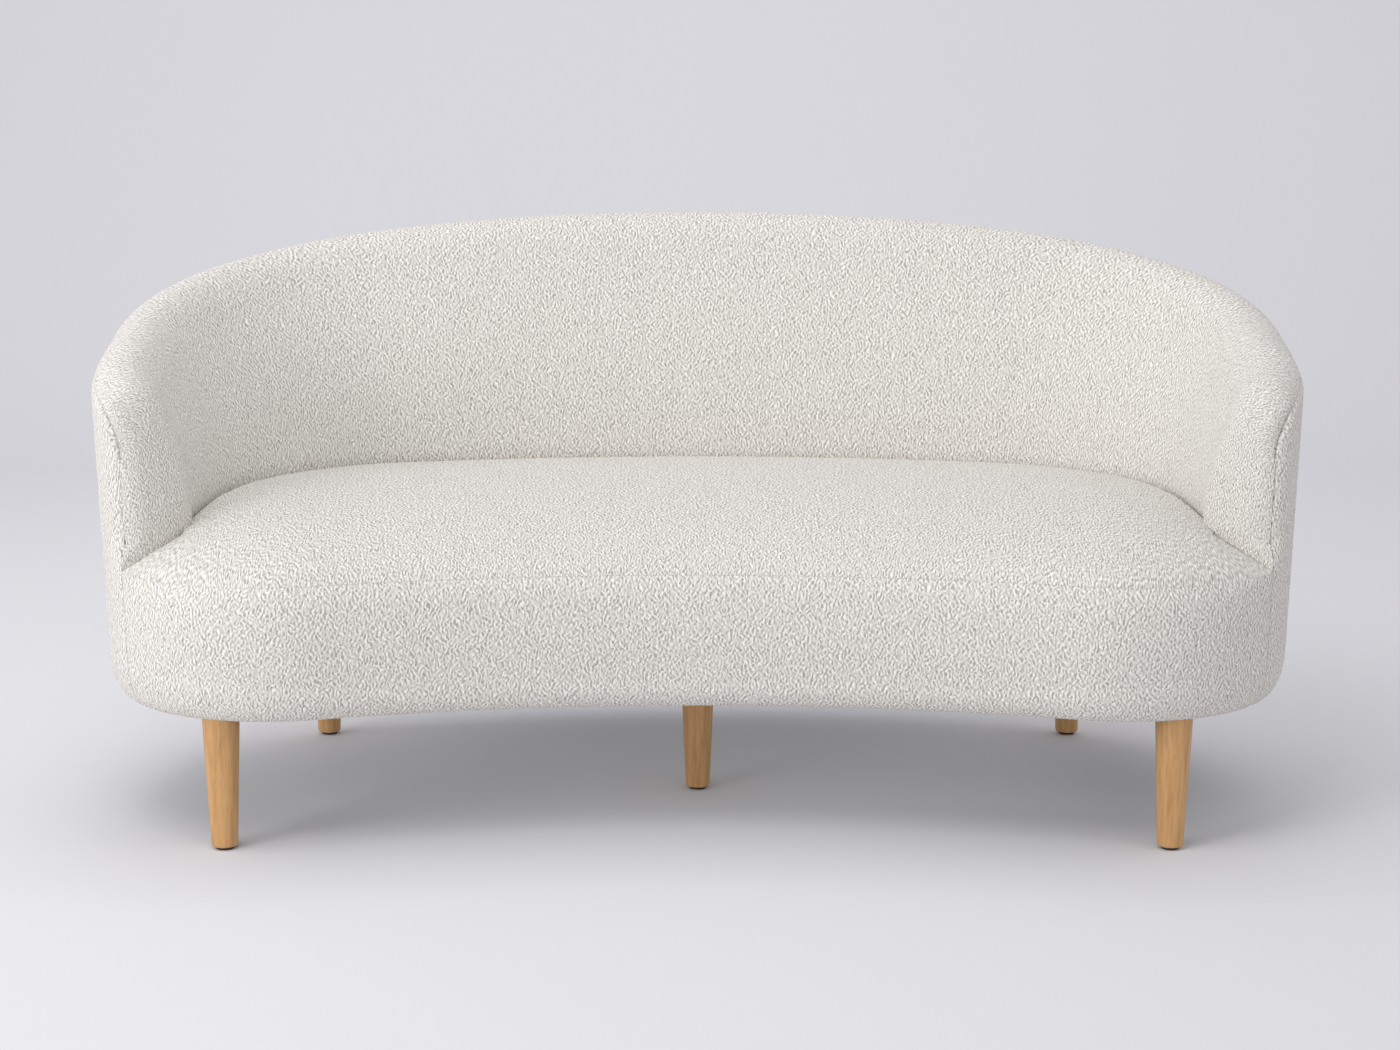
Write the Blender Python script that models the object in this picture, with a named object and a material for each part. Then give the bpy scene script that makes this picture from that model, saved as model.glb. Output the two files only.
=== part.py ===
"""Curved two-seater sofa: turned legs, plywood frame, foam and fabric covers.

Metres, +Z up, the front faces -Y.
"""
import math

import bmesh
import bpy
import numpy as np

for old in list(bpy.data.objects):
    bpy.data.objects.remove(old, do_unlink=True)

# Plan outline of the body at the height of the seat seam, made of tangent arcs
BODY_WIDTH = 1.650
BODY_DEPTH = 0.760
BACK_RADIUS = 1.750
CORNER_RADIUS = 0.430
NOSE_RADIUS = 0.250
FRONT_RADIUS = 1.600
SIDE_LEAN = 0.030
BORDER_BELLY = 0.006

# Back and arms: one wall whose top edge falls from the back to the arm fronts
BACK_RISE = 0.453
ARM_RISE = 0.237
TOP_LINE_POWER = 2.3
BACK_THICKNESS = 0.200
ARM_THICKNESS = 0.118
BACK_ROLL = 0.100
ARM_ROLL = 0.092
ROLL_HEIGHT = 0.047
INSIDE_BELLY = 0.008
ARM_SEAM_ANGLE = math.radians(38)
ARM_NOSE = 0.070
ARM_BLEND_START = 0.25
NOSE_DROP = 0.045
SEAM_TURN = math.radians(22.5)
SEAM_SLIT = 0.005
COVER_TUCK = 0.022

# Seat: a crowned pad that rises from its front seam and runs out flat
SEAM_ABOVE_DECK = 0.018
SEAT_RISE = 0.083
SEAT_EASE = 0.140
INSET_DROP = 1.2
SEAT_CROWN = 0.010
CREASE_DROP = 0.012
CREASE_ROLL = 0.030

# Layers from the outside in
GAP = 0.0003
FOAM_FIT = 0.0009
COVER = 0.003
OUTSIDE_PAD = 0.015
SKIN = 0.003
BACK_FOAM = 0.095
ARM_FOAM = 0.048
TOP_FOAM = 0.036
TOP_PAD = 0.035

# Timber
PLY = 0.018
LOWER_RING_WIDTH = 0.090
SEAT_RING_WIDTH = 0.075
SEAT_LEDGE = 0.045
POST = 0.045
POST_HEIGHT = 0.129
POST_SETBACK = 0.012
POST_BESIDE_SPREADER = 0.098
POST_OFFSETS = (-0.177, 0.102, 0.141)
RIB_FIT = 0.0012
RAIL_HEIGHT = 0.035
SKIN_LIFT = 0.006
BEAM_WIDTH = 0.100
BEAM_THICKNESS = 0.022
BEAM_SETBACK = 0.040
SPREADER_AT = 0.200
SPREADER_THICKNESS = 0.022
SPREADER_HEIGHT = 0.045
SPREADER_SETBACK = 0.045

# Webbing
STRAP_WIDTH = 0.060
STRAP = 0.002
STRAP_STEP = 0.230
STRAPS_EACH_SIDE = 2
STRAP_SETBACK = 0.012

# Legs, glides and fixings
LEG_LENGTH = 0.1815
LEG_TOP_RADIUS = 0.0252
LEG_FOOT_RADIUS = 0.0177
LEG_ROUND = 0.0030
LEG_MARGIN = 0.003
FRONT_LEG_ANGLE = math.radians(71)
REAR_LEG_ANGLE = math.radians(59)
CENTRE_LEG_SETBACK = 0.273
GLIDE_RADIUS = 0.0120
GLIDE_HEIGHT = 0.0037
GLIDE_EDGE = 0.0010
PIN_RADIUS = 0.0015
PIN_LENGTH = 0.012
DUST_COVER = 0.0008
BOLT_RADIUS = 0.004
BOLT_DEPTH = 0.030
BOLT_PROUD = 0.003
THREAD_FIT = 0.00015
NUT_BARREL_RADIUS = 0.0050
NUT_BARREL = 0.012
NUT_FLANGE_RADIUS = 0.011
NUT_FLANGE = 0.0015

# Heights that follow from the stack, from the floor up
LEG_FOOT = GLIDE_HEIGHT + GAP
LEG_TOP = LEG_FOOT + LEG_LENGTH
RING_BASE = LEG_TOP + GAP + DUST_COVER + GAP
RING_TOP = RING_BASE + PLY
SEAT_RING_BASE = RING_TOP + GAP + POST_HEIGHT + GAP
SEAT_RING_TOP = SEAT_RING_BASE + PLY
DECK = SEAT_RING_TOP + GAP + STRAP + GAP
SEAM = DECK + SEAM_ABOVE_DECK
UNDERSIDE = RING_BASE - COVER - 2 * GAP
SKIN_FACE = COVER + GAP + OUTSIDE_PAD + GAP
FRAME_IN = SKIN_FACE + SKIN + GAP
EDGE_ROLL = FRAME_IN
CREASE_FIT = 2 * GAP

BACK_STEPS = 4
CORNER_STEPS = 7
SIDE_STEPS = 2
NOSE_STEPS = 4
LEAST_STEP = 0.010

COLOURS = {
    "boucle": ((0.78, 0.76, 0.72, 1.0), 0.95, 0.0),
    "foam": ((0.86, 0.80, 0.58, 1.0), 0.90, 0.0),
    "plywood": ((0.66, 0.50, 0.32, 1.0), 0.70, 0.0),
    "board": ((0.42, 0.31, 0.20, 1.0), 0.75, 0.0),
    "oak": ((0.60, 0.40, 0.22, 1.0), 0.45, 0.0),
    "glide": ((0.05, 0.05, 0.05, 1.0), 0.60, 0.0),
    "steel": ((0.62, 0.62, 0.60, 1.0), 0.35, 1.0),
    "webbing": ((0.10, 0.10, 0.11, 1.0), 0.85, 0.0),
    "dust_cloth": ((0.04, 0.04, 0.04, 1.0), 0.95, 0.0),
}


def smooth(t):
    t = min(1.0, max(0.0, t))
    return t * t * (3.0 - 2.0 * t)


class Outline:
    """Plan outline: back arc, corner arc, side, nose arc, hollow front arc, mirrored about x = 0."""

    def __init__(self):
        half = BODY_WIDTH / 2
        self.back = np.array([0.0, BODY_DEPTH - BACK_RADIUS])
        self.front = np.array([0.0, -FRONT_RADIUS])
        corner_x = half - CORNER_RADIUS
        nose_x = half - NOSE_RADIUS
        corner_y = self.back[1] + math.sqrt((BACK_RADIUS - CORNER_RADIUS) ** 2 - corner_x ** 2)
        nose_y = self.front[1] + math.sqrt((FRONT_RADIUS + NOSE_RADIUS) ** 2 - nose_x ** 2)
        shift = (NOSE_RADIUS - nose_y - BODY_DEPTH) / 2
        for centre in (self.back, self.front):
            centre[1] += shift
        self.corner = np.array([corner_x, corner_y + shift])
        self.nose = np.array([nose_x, nose_y + shift])
        self.corner_angle = math.atan2(self.corner[1] - self.back[1], corner_x)
        self.front_angle = math.atan2(self.nose[1] - self.front[1], nose_x)
        lengths = [BACK_RADIUS * (math.pi / 2 - self.corner_angle), CORNER_RADIUS * self.corner_angle,
                   corner_y - nose_y, NOSE_RADIUS * (math.pi - self.front_angle),
                   FRONT_RADIUS * (math.pi / 2 - self.front_angle)]
        self.ends = np.cumsum(lengths)
        self.half = self.ends[-1]

    def at(self, u):
        """Point and outward normal at the length u from the middle of the back, right if positive."""
        side = 1.0 if u >= 0 else -1.0
        q = min(abs(u), self.half)
        if q <= self.ends[0]:
            angle = math.pi / 2 - q / BACK_RADIUS
            centre, radius, sign = self.back, BACK_RADIUS, 1.0
        elif q <= self.ends[1]:
            angle = self.corner_angle - (q - self.ends[0]) / CORNER_RADIUS
            centre, radius, sign = self.corner, CORNER_RADIUS, 1.0
        elif q <= self.ends[2]:
            point = np.array([side * BODY_WIDTH / 2, self.corner[1] - (q - self.ends[1])])
            return point, np.array([side, 0.0])
        elif q <= self.ends[3]:
            angle = -(q - self.ends[2]) / NOSE_RADIUS
            centre, radius, sign = self.nose, NOSE_RADIUS, 1.0
        else:
            angle = self.front_angle + (q - self.ends[3]) / FRONT_RADIUS
            centre, radius, sign = self.front, FRONT_RADIUS, -1.0
        ray = np.array([math.cos(angle), math.sin(angle)])
        point = centre + radius * ray
        normal = sign * ray
        return np.array([side * point[0], point[1]]), np.array([side * normal[0], normal[1]])

    def front_y(self, x):
        return self.front[1] + math.sqrt(FRONT_RADIUS ** 2 - x ** 2)

    def back_y(self, x):
        return self.back[1] + math.sqrt(BACK_RADIUS ** 2 - x ** 2)


plan = Outline()
ARM_SEAM = plan.ends[2] + NOSE_RADIUS * ARM_SEAM_ANGLE
WALL_END = ARM_SEAM - ARM_NOSE
THIN_FROM = plan.ends[0] + ARM_BLEND_START * (plan.ends[1] - plan.ends[0])


def place(u, d, z):
    point, normal = plan.at(u)
    return (point[0] + d * normal[0], point[1] + d * normal[1], z)


def lean(u):
    from_u = plan.ends[0] / 2
    return SIDE_LEAN * smooth((abs(u) - from_u) / (plan.ends[1] - from_u))


def outside(u, z):
    """Offset of the outer face from the outline: the sides lean out towards the top."""
    return lean(u) * (z - SEAM)


def wall(u):
    """Top height, thickness at the seat, width of the top roll and blend from back to arm at a station."""
    q = min(1.0, abs(u) / ARM_SEAM)
    top = SEAM + BACK_RISE - (BACK_RISE - ARM_RISE) * q ** TOP_LINE_POWER
    w = smooth((abs(u) - THIN_FROM) / (ARM_SEAM - THIN_FROM))
    low = BACK_THICKNESS + (ARM_THICKNESS - BACK_THICKNESS) * w
    roll = BACK_ROLL + (ARM_ROLL - BACK_ROLL) * w
    return top, low, roll, w


FRONT_LINE = np.array([plan.at(s * u)[0] for s in (1, -1) for u in np.linspace(ARM_SEAM, plan.half, 160)])


def quarter(t):
    t = min(1.0, max(0.0, t))
    return math.sqrt(1.0 - (1.0 - t) ** 2)


def from_front(x, y):
    return float(np.hypot(FRONT_LINE[:, 0] - x, FRONT_LINE[:, 1] - y).min())


def seat_height(distance, inset=0.0):
    """Height of the seat at a distance from its front seam: it rises from there and runs out flat."""
    rise = SEAT_RISE * (1.0 - math.exp(-distance / SEAT_EASE))
    return SEAM + max(min(0.0, COVER - inset), rise - INSET_DROP * inset)


def nose(station, inset):
    """Length along the outline and remaining share of the section, for a station (side, length, turn)."""
    side, length, turn = station
    if turn == 0.0:
        return side * length, 1.0
    return side * (WALL_END + (ARM_NOSE - inset) * math.sin(turn)), math.cos(turn)


def inside_face(u, share, z, inset, crease):
    """Offset of the inside face of the wall at a height, drawn to the seam edge at the arm front."""
    top, low, roll, _ = wall(u)
    middle = top - ROLL_HEIGHT
    outer = outside(u, middle)
    edge = outside(u, z) - roll / 2 + (roll / 2 - abs(inset)) * math.cos(SEAM_TURN)
    f = (z - middle) / (crease - middle)
    d = (outer - roll) * (1.0 - f) - low * f + inset
    if 0.0 < f < 1.0:
        d -= INSIDE_BELLY * math.sin(math.pi * f)
    return edge + (d - edge) * share


def crease_height(u, share):
    """Height where the seat meets the wall: it runs down to the seam at the arm fronts."""
    x, y, _ = place(u, inside_face(u, share, SEAM + SEAT_RISE, 0.0, SEAM + SEAT_RISE), 0.0)
    distance = from_front(x, y)
    return seat_height(distance) - CREASE_DROP * min(1.0, distance / SEAT_EASE)


def nose_fall(u, share, z):
    """Height with the arm front rounded down towards its seam."""
    bottom = wall(u)[0] - ROLL_HEIGHT - NOSE_DROP
    return bottom + (z - bottom) * share if z > bottom else z


def roll_point(u, share, turn, inset):
    """Point of the top roll at an angle from the outer side."""
    top, _, roll, _ = wall(u)
    middle = top - ROLL_HEIGHT
    centre = outside(u, nose_fall(u, share, middle)) - roll / 2
    edge = centre + (roll / 2 - inset) * math.cos(SEAM_TURN)
    d = centre + (roll / 2 - inset) * math.cos(turn)
    if d < edge:
        d = edge + (d - edge) * share
    return d, nose_fall(u, share, middle + (ROLL_HEIGHT - inset) * math.sin(turn))


BACK_RUN = list(np.linspace(0.0, plan.ends[0], BACK_STEPS + 1)[:-1])
CORNER_RUN = list(np.linspace(plan.ends[0], plan.ends[1], CORNER_STEPS + 1)[:-1])
SIDE_RUN = [plan.ends[1]] + list(np.linspace(plan.ends[2], WALL_END, SIDE_STEPS + 1))


def wall_stations(with_nose=True):
    """Stations from the right arm front round the back to the left arm front."""
    half = [(1.0, q, 0.0) for q in BACK_RUN + CORNER_RUN + SIDE_RUN]
    if with_nose:
        half += [(1.0, 0.0, math.pi / 2 * (i + 1) / NOSE_STEPS) for i in range(NOSE_STEPS)]
    mirrored = [(-1.0, q, turn) for _, q, turn in half[1:]]
    return half[::-1] + mirrored


STATIONS = wall_stations()
WALL_ONLY = wall_stations(False)


def crease_line(outset):
    line = []
    for station in STATIONS:
        u, share = nose(station, -outset)
        height = crease_height(u, share)
        line.append(place(u, inside_face(u, share, height, -outset, height), height))
    return np.array(line)


def front_stations():
    """Stations of the front seam, spaced like those of the crease that lies opposite."""
    line = crease_line(0.0)
    steps = np.hypot(np.diff(line[:, 0]), np.diff(line[:, 1]))
    run = np.concatenate([[0.0], np.cumsum(steps)]) / steps.sum()
    run = (run + np.linspace(0.0, 1.0, len(run))) / 2
    length = plan.half - ARM_SEAM
    stations = []
    for t in run:
        if t <= 0.5:
            stations.append(ARM_SEAM + 2.0 * t * length)
        else:
            stations.append(-(ARM_SEAM + 2.0 * (1.0 - t) * length))
    return stations


FRONT = front_stations()


def new_object(name, mesh, material):
    mesh.materials.append(material)
    item = bpy.data.objects.new(name, mesh)
    bpy.context.scene.collection.objects.link(item)
    return item


MATERIALS = {}


def material_of(kind):
    if kind not in MATERIALS:
        colour, roughness, metallic = COLOURS[kind]
        item = bpy.data.materials.new(kind)
        item.use_nodes = True
        shader = item.node_tree.nodes["Principled BSDF"]
        shader.inputs["Base Color"].default_value = colour
        shader.inputs["Roughness"].default_value = roughness
        shader.inputs["Metallic"].default_value = metallic
        item.diffuse_color = colour
        MATERIALS[kind] = item
    return MATERIALS[kind]


def finish(name, bm, kind, smooth_angle=None):
    bmesh.ops.remove_doubles(bm, verts=bm.verts[:], dist=1e-6)
    bmesh.ops.recalc_face_normals(bm, faces=bm.faces[:])
    if bm.calc_volume(signed=True) < 0.0:
        bmesh.ops.reverse_faces(bm, faces=bm.faces[:])
    mesh = bpy.data.meshes.new(name)
    bm.to_mesh(mesh)
    bm.free()
    if smooth_angle is not None:
        mesh.shade_smooth()
        mesh.set_sharp_from_angle(angle=smooth_angle)
    return new_object(name, mesh, material_of(kind))


def layer(name, outer, inner, kind):
    """Closed solid between two grids of points of the same size, joined all round their edges."""
    outer = np.asarray(outer)
    inner = np.asarray(inner)
    rows, columns = outer.shape[:2]
    bm = bmesh.new()
    sides = []
    for points in (outer, inner):
        sides.append([[bm.verts.new(points[i, j]) for j in range(columns)] for i in range(rows)])
    for i in range(rows - 1):
        for j in range(columns - 1):
            turn = 0 if j < (columns - 1) / 2 else 1
            for side, order in ((sides[0], 1), (sides[1], -1)):
                ring = [side[i][j], side[i + 1][j], side[i + 1][j + 1], side[i][j + 1]]
                a, b, c, e = ring[turn:] + ring[:turn]
                bm.faces.new([a, b, c][::order])
                bm.faces.new([a, c, e][::order])
    rim = [(0, j) for j in range(columns)] + [(i, columns - 1) for i in range(1, rows)]
    rim += [(rows - 1, j) for j in range(columns - 2, -1, -1)] + [(i, 0) for i in range(rows - 2, 0, -1)]
    for (a, b), (c, e) in zip(rim, rim[1:] + rim[:1]):
        bm.faces.new([sides[0][a][b], sides[0][c][e], sides[1][c][e], sides[1][a][b]])
    return finish(name, bm, kind, math.radians(40))


def box(name, corners, kind):
    """Closed solid of eight corners: four below, then the four above them."""
    bm = bmesh.new()
    verts = [bm.verts.new(c) for c in corners]
    for face in ((0, 1, 2, 3), (4, 5, 6, 7), (0, 1, 5, 4), (1, 2, 6, 5), (2, 3, 7, 6), (3, 0, 4, 7)):
        bm.faces.new([verts[i] for i in face])
    return finish(name, bm, kind)


def bar(name, x, y, z, kind):
    """Box along the axes from ranges in x, y and z."""
    ring = [(x[0], y[0]), (x[1], y[0]), (x[1], y[1]), (x[0], y[1])]
    return box(name, [(a, b, z[0]) for a, b in ring] + [(a, b, z[1]) for a, b in ring], kind)


def turned(name, profile, kind, location, segments=24, closed=False):
    """Solid of revolution about the vertical axis, from a profile of radius and height."""
    bm = bmesh.new()
    rings = []
    for radius, z in profile:
        if radius == 0.0:
            rings.append([bm.verts.new((0.0, 0.0, z))])
            continue
        angles = [2 * math.pi * i / segments for i in range(segments)]
        rings.append([bm.verts.new((radius * math.cos(a), radius * math.sin(a), z)) for a in angles])
    pairs = list(zip(rings, rings[1:]))
    if closed:
        pairs.append((rings[-1], rings[0]))
    for low, high in pairs:
        for i in range(segments):
            k = (i + 1) % segments
            face = [low[i % len(low)], low[k % len(low)], high[k % len(high)], high[i % len(high)]]
            bm.faces.new(list(dict.fromkeys(face)))
    item = finish(name, bm, kind, math.radians(35))
    item.location = location
    return item


def plate(name, outer, inner, base, top, kind):
    """Flat ring between two closed outlines of the same count, or a full sheet if there is no inner one."""
    bm = bmesh.new()
    low = [bm.verts.new((x, y, base)) for x, y in outer]
    high = [bm.verts.new((x, y, top)) for x, y in outer]
    count = len(outer)
    loops = list(range(count))
    for i in loops:
        k = (i + 1) % count
        bm.faces.new([low[i], low[k], high[k], high[i]])
    if inner is None:
        bm.faces.new(low[::-1])
        bm.faces.new(high)
    else:
        low_in = [bm.verts.new((x, y, base)) for x, y in inner]
        high_in = [bm.verts.new((x, y, top)) for x, y in inner]
        for i in loops:
            k = (i + 1) % count
            bm.faces.new([low_in[k], low_in[i], high_in[i], high_in[k]])
            bm.faces.new([low[k], low[i], low_in[i], low_in[k]])
            bm.faces.new([high[i], high[k], high_in[k], high_in[i]])
    return finish(name, bm, kind)


def cut(item, cutters):
    for cutter in cutters:
        step = item.modifiers.new(cutter.name, "BOOLEAN")
        step.operation = "DIFFERENCE"
        step.solver = "EXACT"
        step.object = cutter


# Legs, placed from the outline: front on the nose arcs, rear on the corner arcs, one in the middle
REAR_LEG_U = plan.ends[0] + CORNER_RADIUS * (plan.corner_angle - REAR_LEG_ANGLE)
FRONT_LEG_U = plan.ends[2] + NOSE_RADIUS * FRONT_LEG_ANGLE
CENTRE_LEG_Y = plan.front_y(0.0) + CENTRE_LEG_SETBACK


def leg_spot(u):
    """Leg axis at a station, just clear of the edge where the covers turn under."""
    edge = outside(u, UNDERSIDE + EDGE_ROLL) - EDGE_ROLL
    return place(u, edge - LEG_MARGIN - LEG_TOP_RADIUS, 0.0)


LEGS = {
    "front_right": leg_spot(FRONT_LEG_U),
    "front_left": leg_spot(-FRONT_LEG_U),
    "rear_right": leg_spot(REAR_LEG_U),
    "rear_left": leg_spot(-REAR_LEG_U),
    "centre": (0.0, CENTRE_LEG_Y, 0.0),
}
BOLT_HOLE = BOLT_RADIUS + THREAD_FIT
NUT_HOLE = NUT_BARREL_RADIUS + GAP

cutters = {}
for name, (x, y, _) in LEGS.items():
    seat = RING_TOP
    if name == "centre":
        seat = RING_TOP + GAP + BEAM_THICKNESS
    foot = [(LEG_FOOT_RADIUS - LEG_ROUND * (1 - math.sin(a)), LEG_FOOT + LEG_ROUND * (1 - math.cos(a)))
            for a in np.radians([0.0, 30.0, 60.0, 90.0])]
    pin_hole = PIN_RADIUS + GAP
    profile = [(0.0, LEG_FOOT + PIN_LENGTH), (pin_hole, LEG_FOOT + PIN_LENGTH), (pin_hole, LEG_FOOT)]
    profile += foot
    profile += [(LEG_TOP_RADIUS, LEG_TOP), (BOLT_HOLE, LEG_TOP), (BOLT_HOLE, LEG_TOP - BOLT_DEPTH)]
    profile += [(0.0, LEG_TOP - BOLT_DEPTH)]
    turned("leg_" + name, profile, "oak", (x, y, 0.0), 32)
    pin_tip = LEG_FOOT + PIN_LENGTH - GAP
    disc = [(0.0, 0.0), (GLIDE_RADIUS - GLIDE_EDGE, 0.0), (GLIDE_RADIUS, GLIDE_EDGE)]
    disc += [(GLIDE_RADIUS, GLIDE_HEIGHT), (PIN_RADIUS, GLIDE_HEIGHT)]
    disc += [(PIN_RADIUS, pin_tip), (0.0, pin_tip)]
    turned("glide_" + name, disc, "glide", (x, y, 0.0), 24)
    shank = [(0.0, LEG_TOP - BOLT_DEPTH + GAP), (BOLT_RADIUS, LEG_TOP - BOLT_DEPTH + GAP)]
    shank += [(BOLT_RADIUS, seat + NUT_FLANGE + BOLT_PROUD), (0.0, seat + NUT_FLANGE + BOLT_PROUD)]
    turned("leg_bolt_" + name, shank, "steel", (x, y, 0.0), 12)
    flange = seat + GAP
    nut = [(BOLT_HOLE, flange - NUT_BARREL), (NUT_BARREL_RADIUS, flange - NUT_BARREL)]
    nut += [(NUT_BARREL_RADIUS, flange), (NUT_FLANGE_RADIUS, flange)]
    nut += [(NUT_FLANGE_RADIUS, flange + NUT_FLANGE), (BOLT_HOLE, flange + NUT_FLANGE)]
    turned("tee_nut_" + name, nut, "steel", (x, y, 0.0), 12, closed=True)
    drill_top = seat + 2 * NUT_FLANGE
    drill = [(0.0, LEG_TOP), (NUT_HOLE, LEG_TOP), (NUT_HOLE, drill_top), (0.0, drill_top)]
    cutter = turned("drill_" + name, drill, "steel", (x, y, 0.0), 16)
    cutter.hide_render = True
    cutter.display_type = "WIRE"
    cutters[name] = cutter

# Base frame: two plywood rings held apart by posts
RING_U = sorted({round(abs(nose(s, 0.0)[0]), 9) for s in STATIONS} | {round(abs(u), 9) for u in FRONT})
RING_U = [u for u in RING_U if u < plan.half - 1e-6] + [plan.half]
ROUND = RING_U + [-u for u in RING_U[-2:0:-1]]


def outline_at(z, depth):
    """Closed plan outline drawn in from the outer face at the height z by a depth along it."""
    return [place(u, outside(u, z) - depth(u), z)[:2] for u in ROUND]


def seat_ring_depth(u):
    _, low, _, _ = wall(u)
    front = FRAME_IN + SEAT_RING_WIDTH
    t = smooth((abs(u) - WALL_END) / NOSE_RADIUS)
    return (low + SEAT_LEDGE) * (1.0 - t) + front * t


lower_ring = plate("lower_ring", outline_at(RING_BASE, lambda u: FRAME_IN),
                   outline_at(RING_BASE, lambda u: FRAME_IN + LOWER_RING_WIDTH),
                   RING_BASE, RING_TOP, "plywood")
cut(lower_ring, [cutters[n] for n in LEGS if n != "centre"])
plate("seat_ring", outline_at(SEAT_RING_BASE, lambda u: FRAME_IN),
      outline_at(SEAT_RING_BASE, seat_ring_depth), SEAT_RING_BASE, SEAT_RING_TOP, "plywood")


def upright(name, u, thickness, profile, kind):
    """Board on edge across the wall at a station, from a closed profile of offset and height."""
    point, normal = plan.at(u)
    along = np.array([-normal[1], normal[0]]) * thickness / 2
    bm = bmesh.new()
    sides = []
    for sign in (-1.0, 1.0):
        sides.append([bm.verts.new((*(point + normal * d + along * sign), z)) for d, z in profile])
    count = len(profile)
    bm.faces.new(sides[0][::-1])
    bm.faces.new(sides[1])
    for i in range(count):
        k = (i + 1) % count
        bm.faces.new([sides[0][i], sides[0][k], sides[1][k], sides[1][i]])
    return finish(name, bm, kind)


post_spots = [BACK_RADIUS * math.asin((SPREADER_AT + POST_BESIDE_SPREADER) / BACK_RADIUS)]
post_spots += [end + offset for end, offset in zip(plan.ends[1:], POST_OFFSETS)]
for number, q in enumerate(post_spots, 1):
    for side, sign in (("right", 1.0), ("left", -1.0)):
        outer = outside(q, RING_BASE) - FRAME_IN - POST_SETBACK
        low = RING_TOP + GAP
        high = SEAT_RING_BASE - GAP
        profile = [(outer, low), (outer, high), (outer - POST, high), (outer - POST, low)]
        upright(f"base_post_{number}_{side}", sign * q, POST, profile, "plywood")

beam_y = (plan.front_y(0.0) + FRAME_IN + BEAM_SETBACK, plan.back_y(0.0) - FRAME_IN - BEAM_SETBACK)
beam = bar("centre_beam", (-BEAM_WIDTH / 2, BEAM_WIDTH / 2), beam_y,
           (RING_TOP + GAP, RING_TOP + GAP + BEAM_THICKNESS), "plywood")
block_y = (CENTRE_LEG_Y - BEAM_WIDTH / 2, CENTRE_LEG_Y + BEAM_WIDTH / 2)
block = bar("centre_block", (-BEAM_WIDTH / 2, BEAM_WIDTH / 2), block_y, (RING_BASE, RING_TOP), "plywood")
for item in (beam, block):
    cut(item, [cutters["centre"]])
for side, sign in (("right", 1.0), ("left", -1.0)):
    x = sign * SPREADER_AT
    y = (plan.front_y(x) + FRAME_IN + SPREADER_SETBACK, plan.back_y(x) - FRAME_IN - SPREADER_SETBACK)
    bar("spreader_" + side, (x - SPREADER_THICKNESS / 2, x + SPREADER_THICKNESS / 2), y,
        (SEAT_RING_BASE - GAP - SPREADER_HEIGHT, SEAT_RING_BASE - GAP), "plywood")
for i in range(-STRAPS_EACH_SIDE, STRAPS_EACH_SIDE + 1):
    x = i * STRAP_STEP
    edge = abs(x) + STRAP_WIDTH / 2
    y = (plan.front_y(x) + FRAME_IN + STRAP_SETBACK, plan.back_y(edge) - BACK_THICKNESS - STRAP_SETBACK)
    bar(f"webbing_strap_{i + STRAPS_EACH_SIDE + 1}", (x - STRAP_WIDTH / 2, x + STRAP_WIDTH / 2), y,
        (SEAT_RING_TOP + GAP, SEAT_RING_TOP + GAP + STRAP), "webbing")


# Back frame: uprights on the seat ring, a bent top rail, and thin skins inside and out
def core_top(u):
    return wall(u)[0] - TOP_PAD


def core_inside(u, z):
    """Inner edge of the timber of the back at the height z, behind the inside skin and the foam."""
    top, low, roll, w = wall(u)
    middle = top - ROLL_HEIGHT
    crease = crease_height(u, 1.0)
    f = (z - middle) / (crease - middle)
    foam = TOP_FOAM + (BACK_FOAM + (ARM_FOAM - BACK_FOAM) * w - TOP_FOAM) * max(0.0, f)
    face = (outside(u, middle) - roll) * (1.0 - f) - low * f
    return face + COVER + GAP + foam + GAP + SKIN + GAP


faces = (0.25, 0.5, 0.75, 1.0)


def core_height(f, tuck=0.0):
    """Height at a share f of the way from the roll down to the crease, or below it by a tuck."""
    def height(u):
        middle = wall(u)[0] - ROLL_HEIGHT
        return middle + (crease_height(u, 1.0) - middle) * f - tuck
    return height


core_heights = [core_height(f) for f in (0.0, *faces)] + [core_height(1.0, COVER_TUCK), lambda u: DECK]

rib_stations = [("centre", 0.0)]
for number, q in enumerate([CORNER_RUN[0], CORNER_RUN[CORNER_STEPS // 2], WALL_END - PLY], 1):
    rib_stations += [(f"{number}_right", q), (f"{number}_left", -q)]
for name, u in rib_stations:
    low = SEAT_RING_TOP + GAP
    high = core_top(abs(u) + PLY / 2) - RAIL_HEIGHT - RIB_FIT
    profile = [(outside(u, z) - FRAME_IN - RIB_FIT, z) for z in (low, high)]
    profile += [(core_inside(u, z) + RIB_FIT, z) for z in (high, low)]
    upright("back_upright_" + name, u, PLY, profile, "plywood")


def grid(stations, rows):
    """Grid of points: one row of the section per entry of rows, one column per station."""
    return [[row(station) for station in stations] for row in rows]


def skin_row(height, offset):
    def row(station):
        u = station[0] * station[1]
        z = height(u)
        return place(u, offset(u, z), z)
    return row


def board(name, stations, heights, near, far, kind):
    """Bent sheet along the stations, between two offsets given as functions of length and height."""
    layer(name, grid(stations, [skin_row(h, near) for h in heights]),
          grid(stations, [skin_row(h, far) for h in heights]), kind)


def skin_outer(u, z):
    return outside(u, z) - SKIN_FACE


def skin_inner(u, z):
    return outside(u, z) - SKIN_FACE - SKIN


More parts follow.
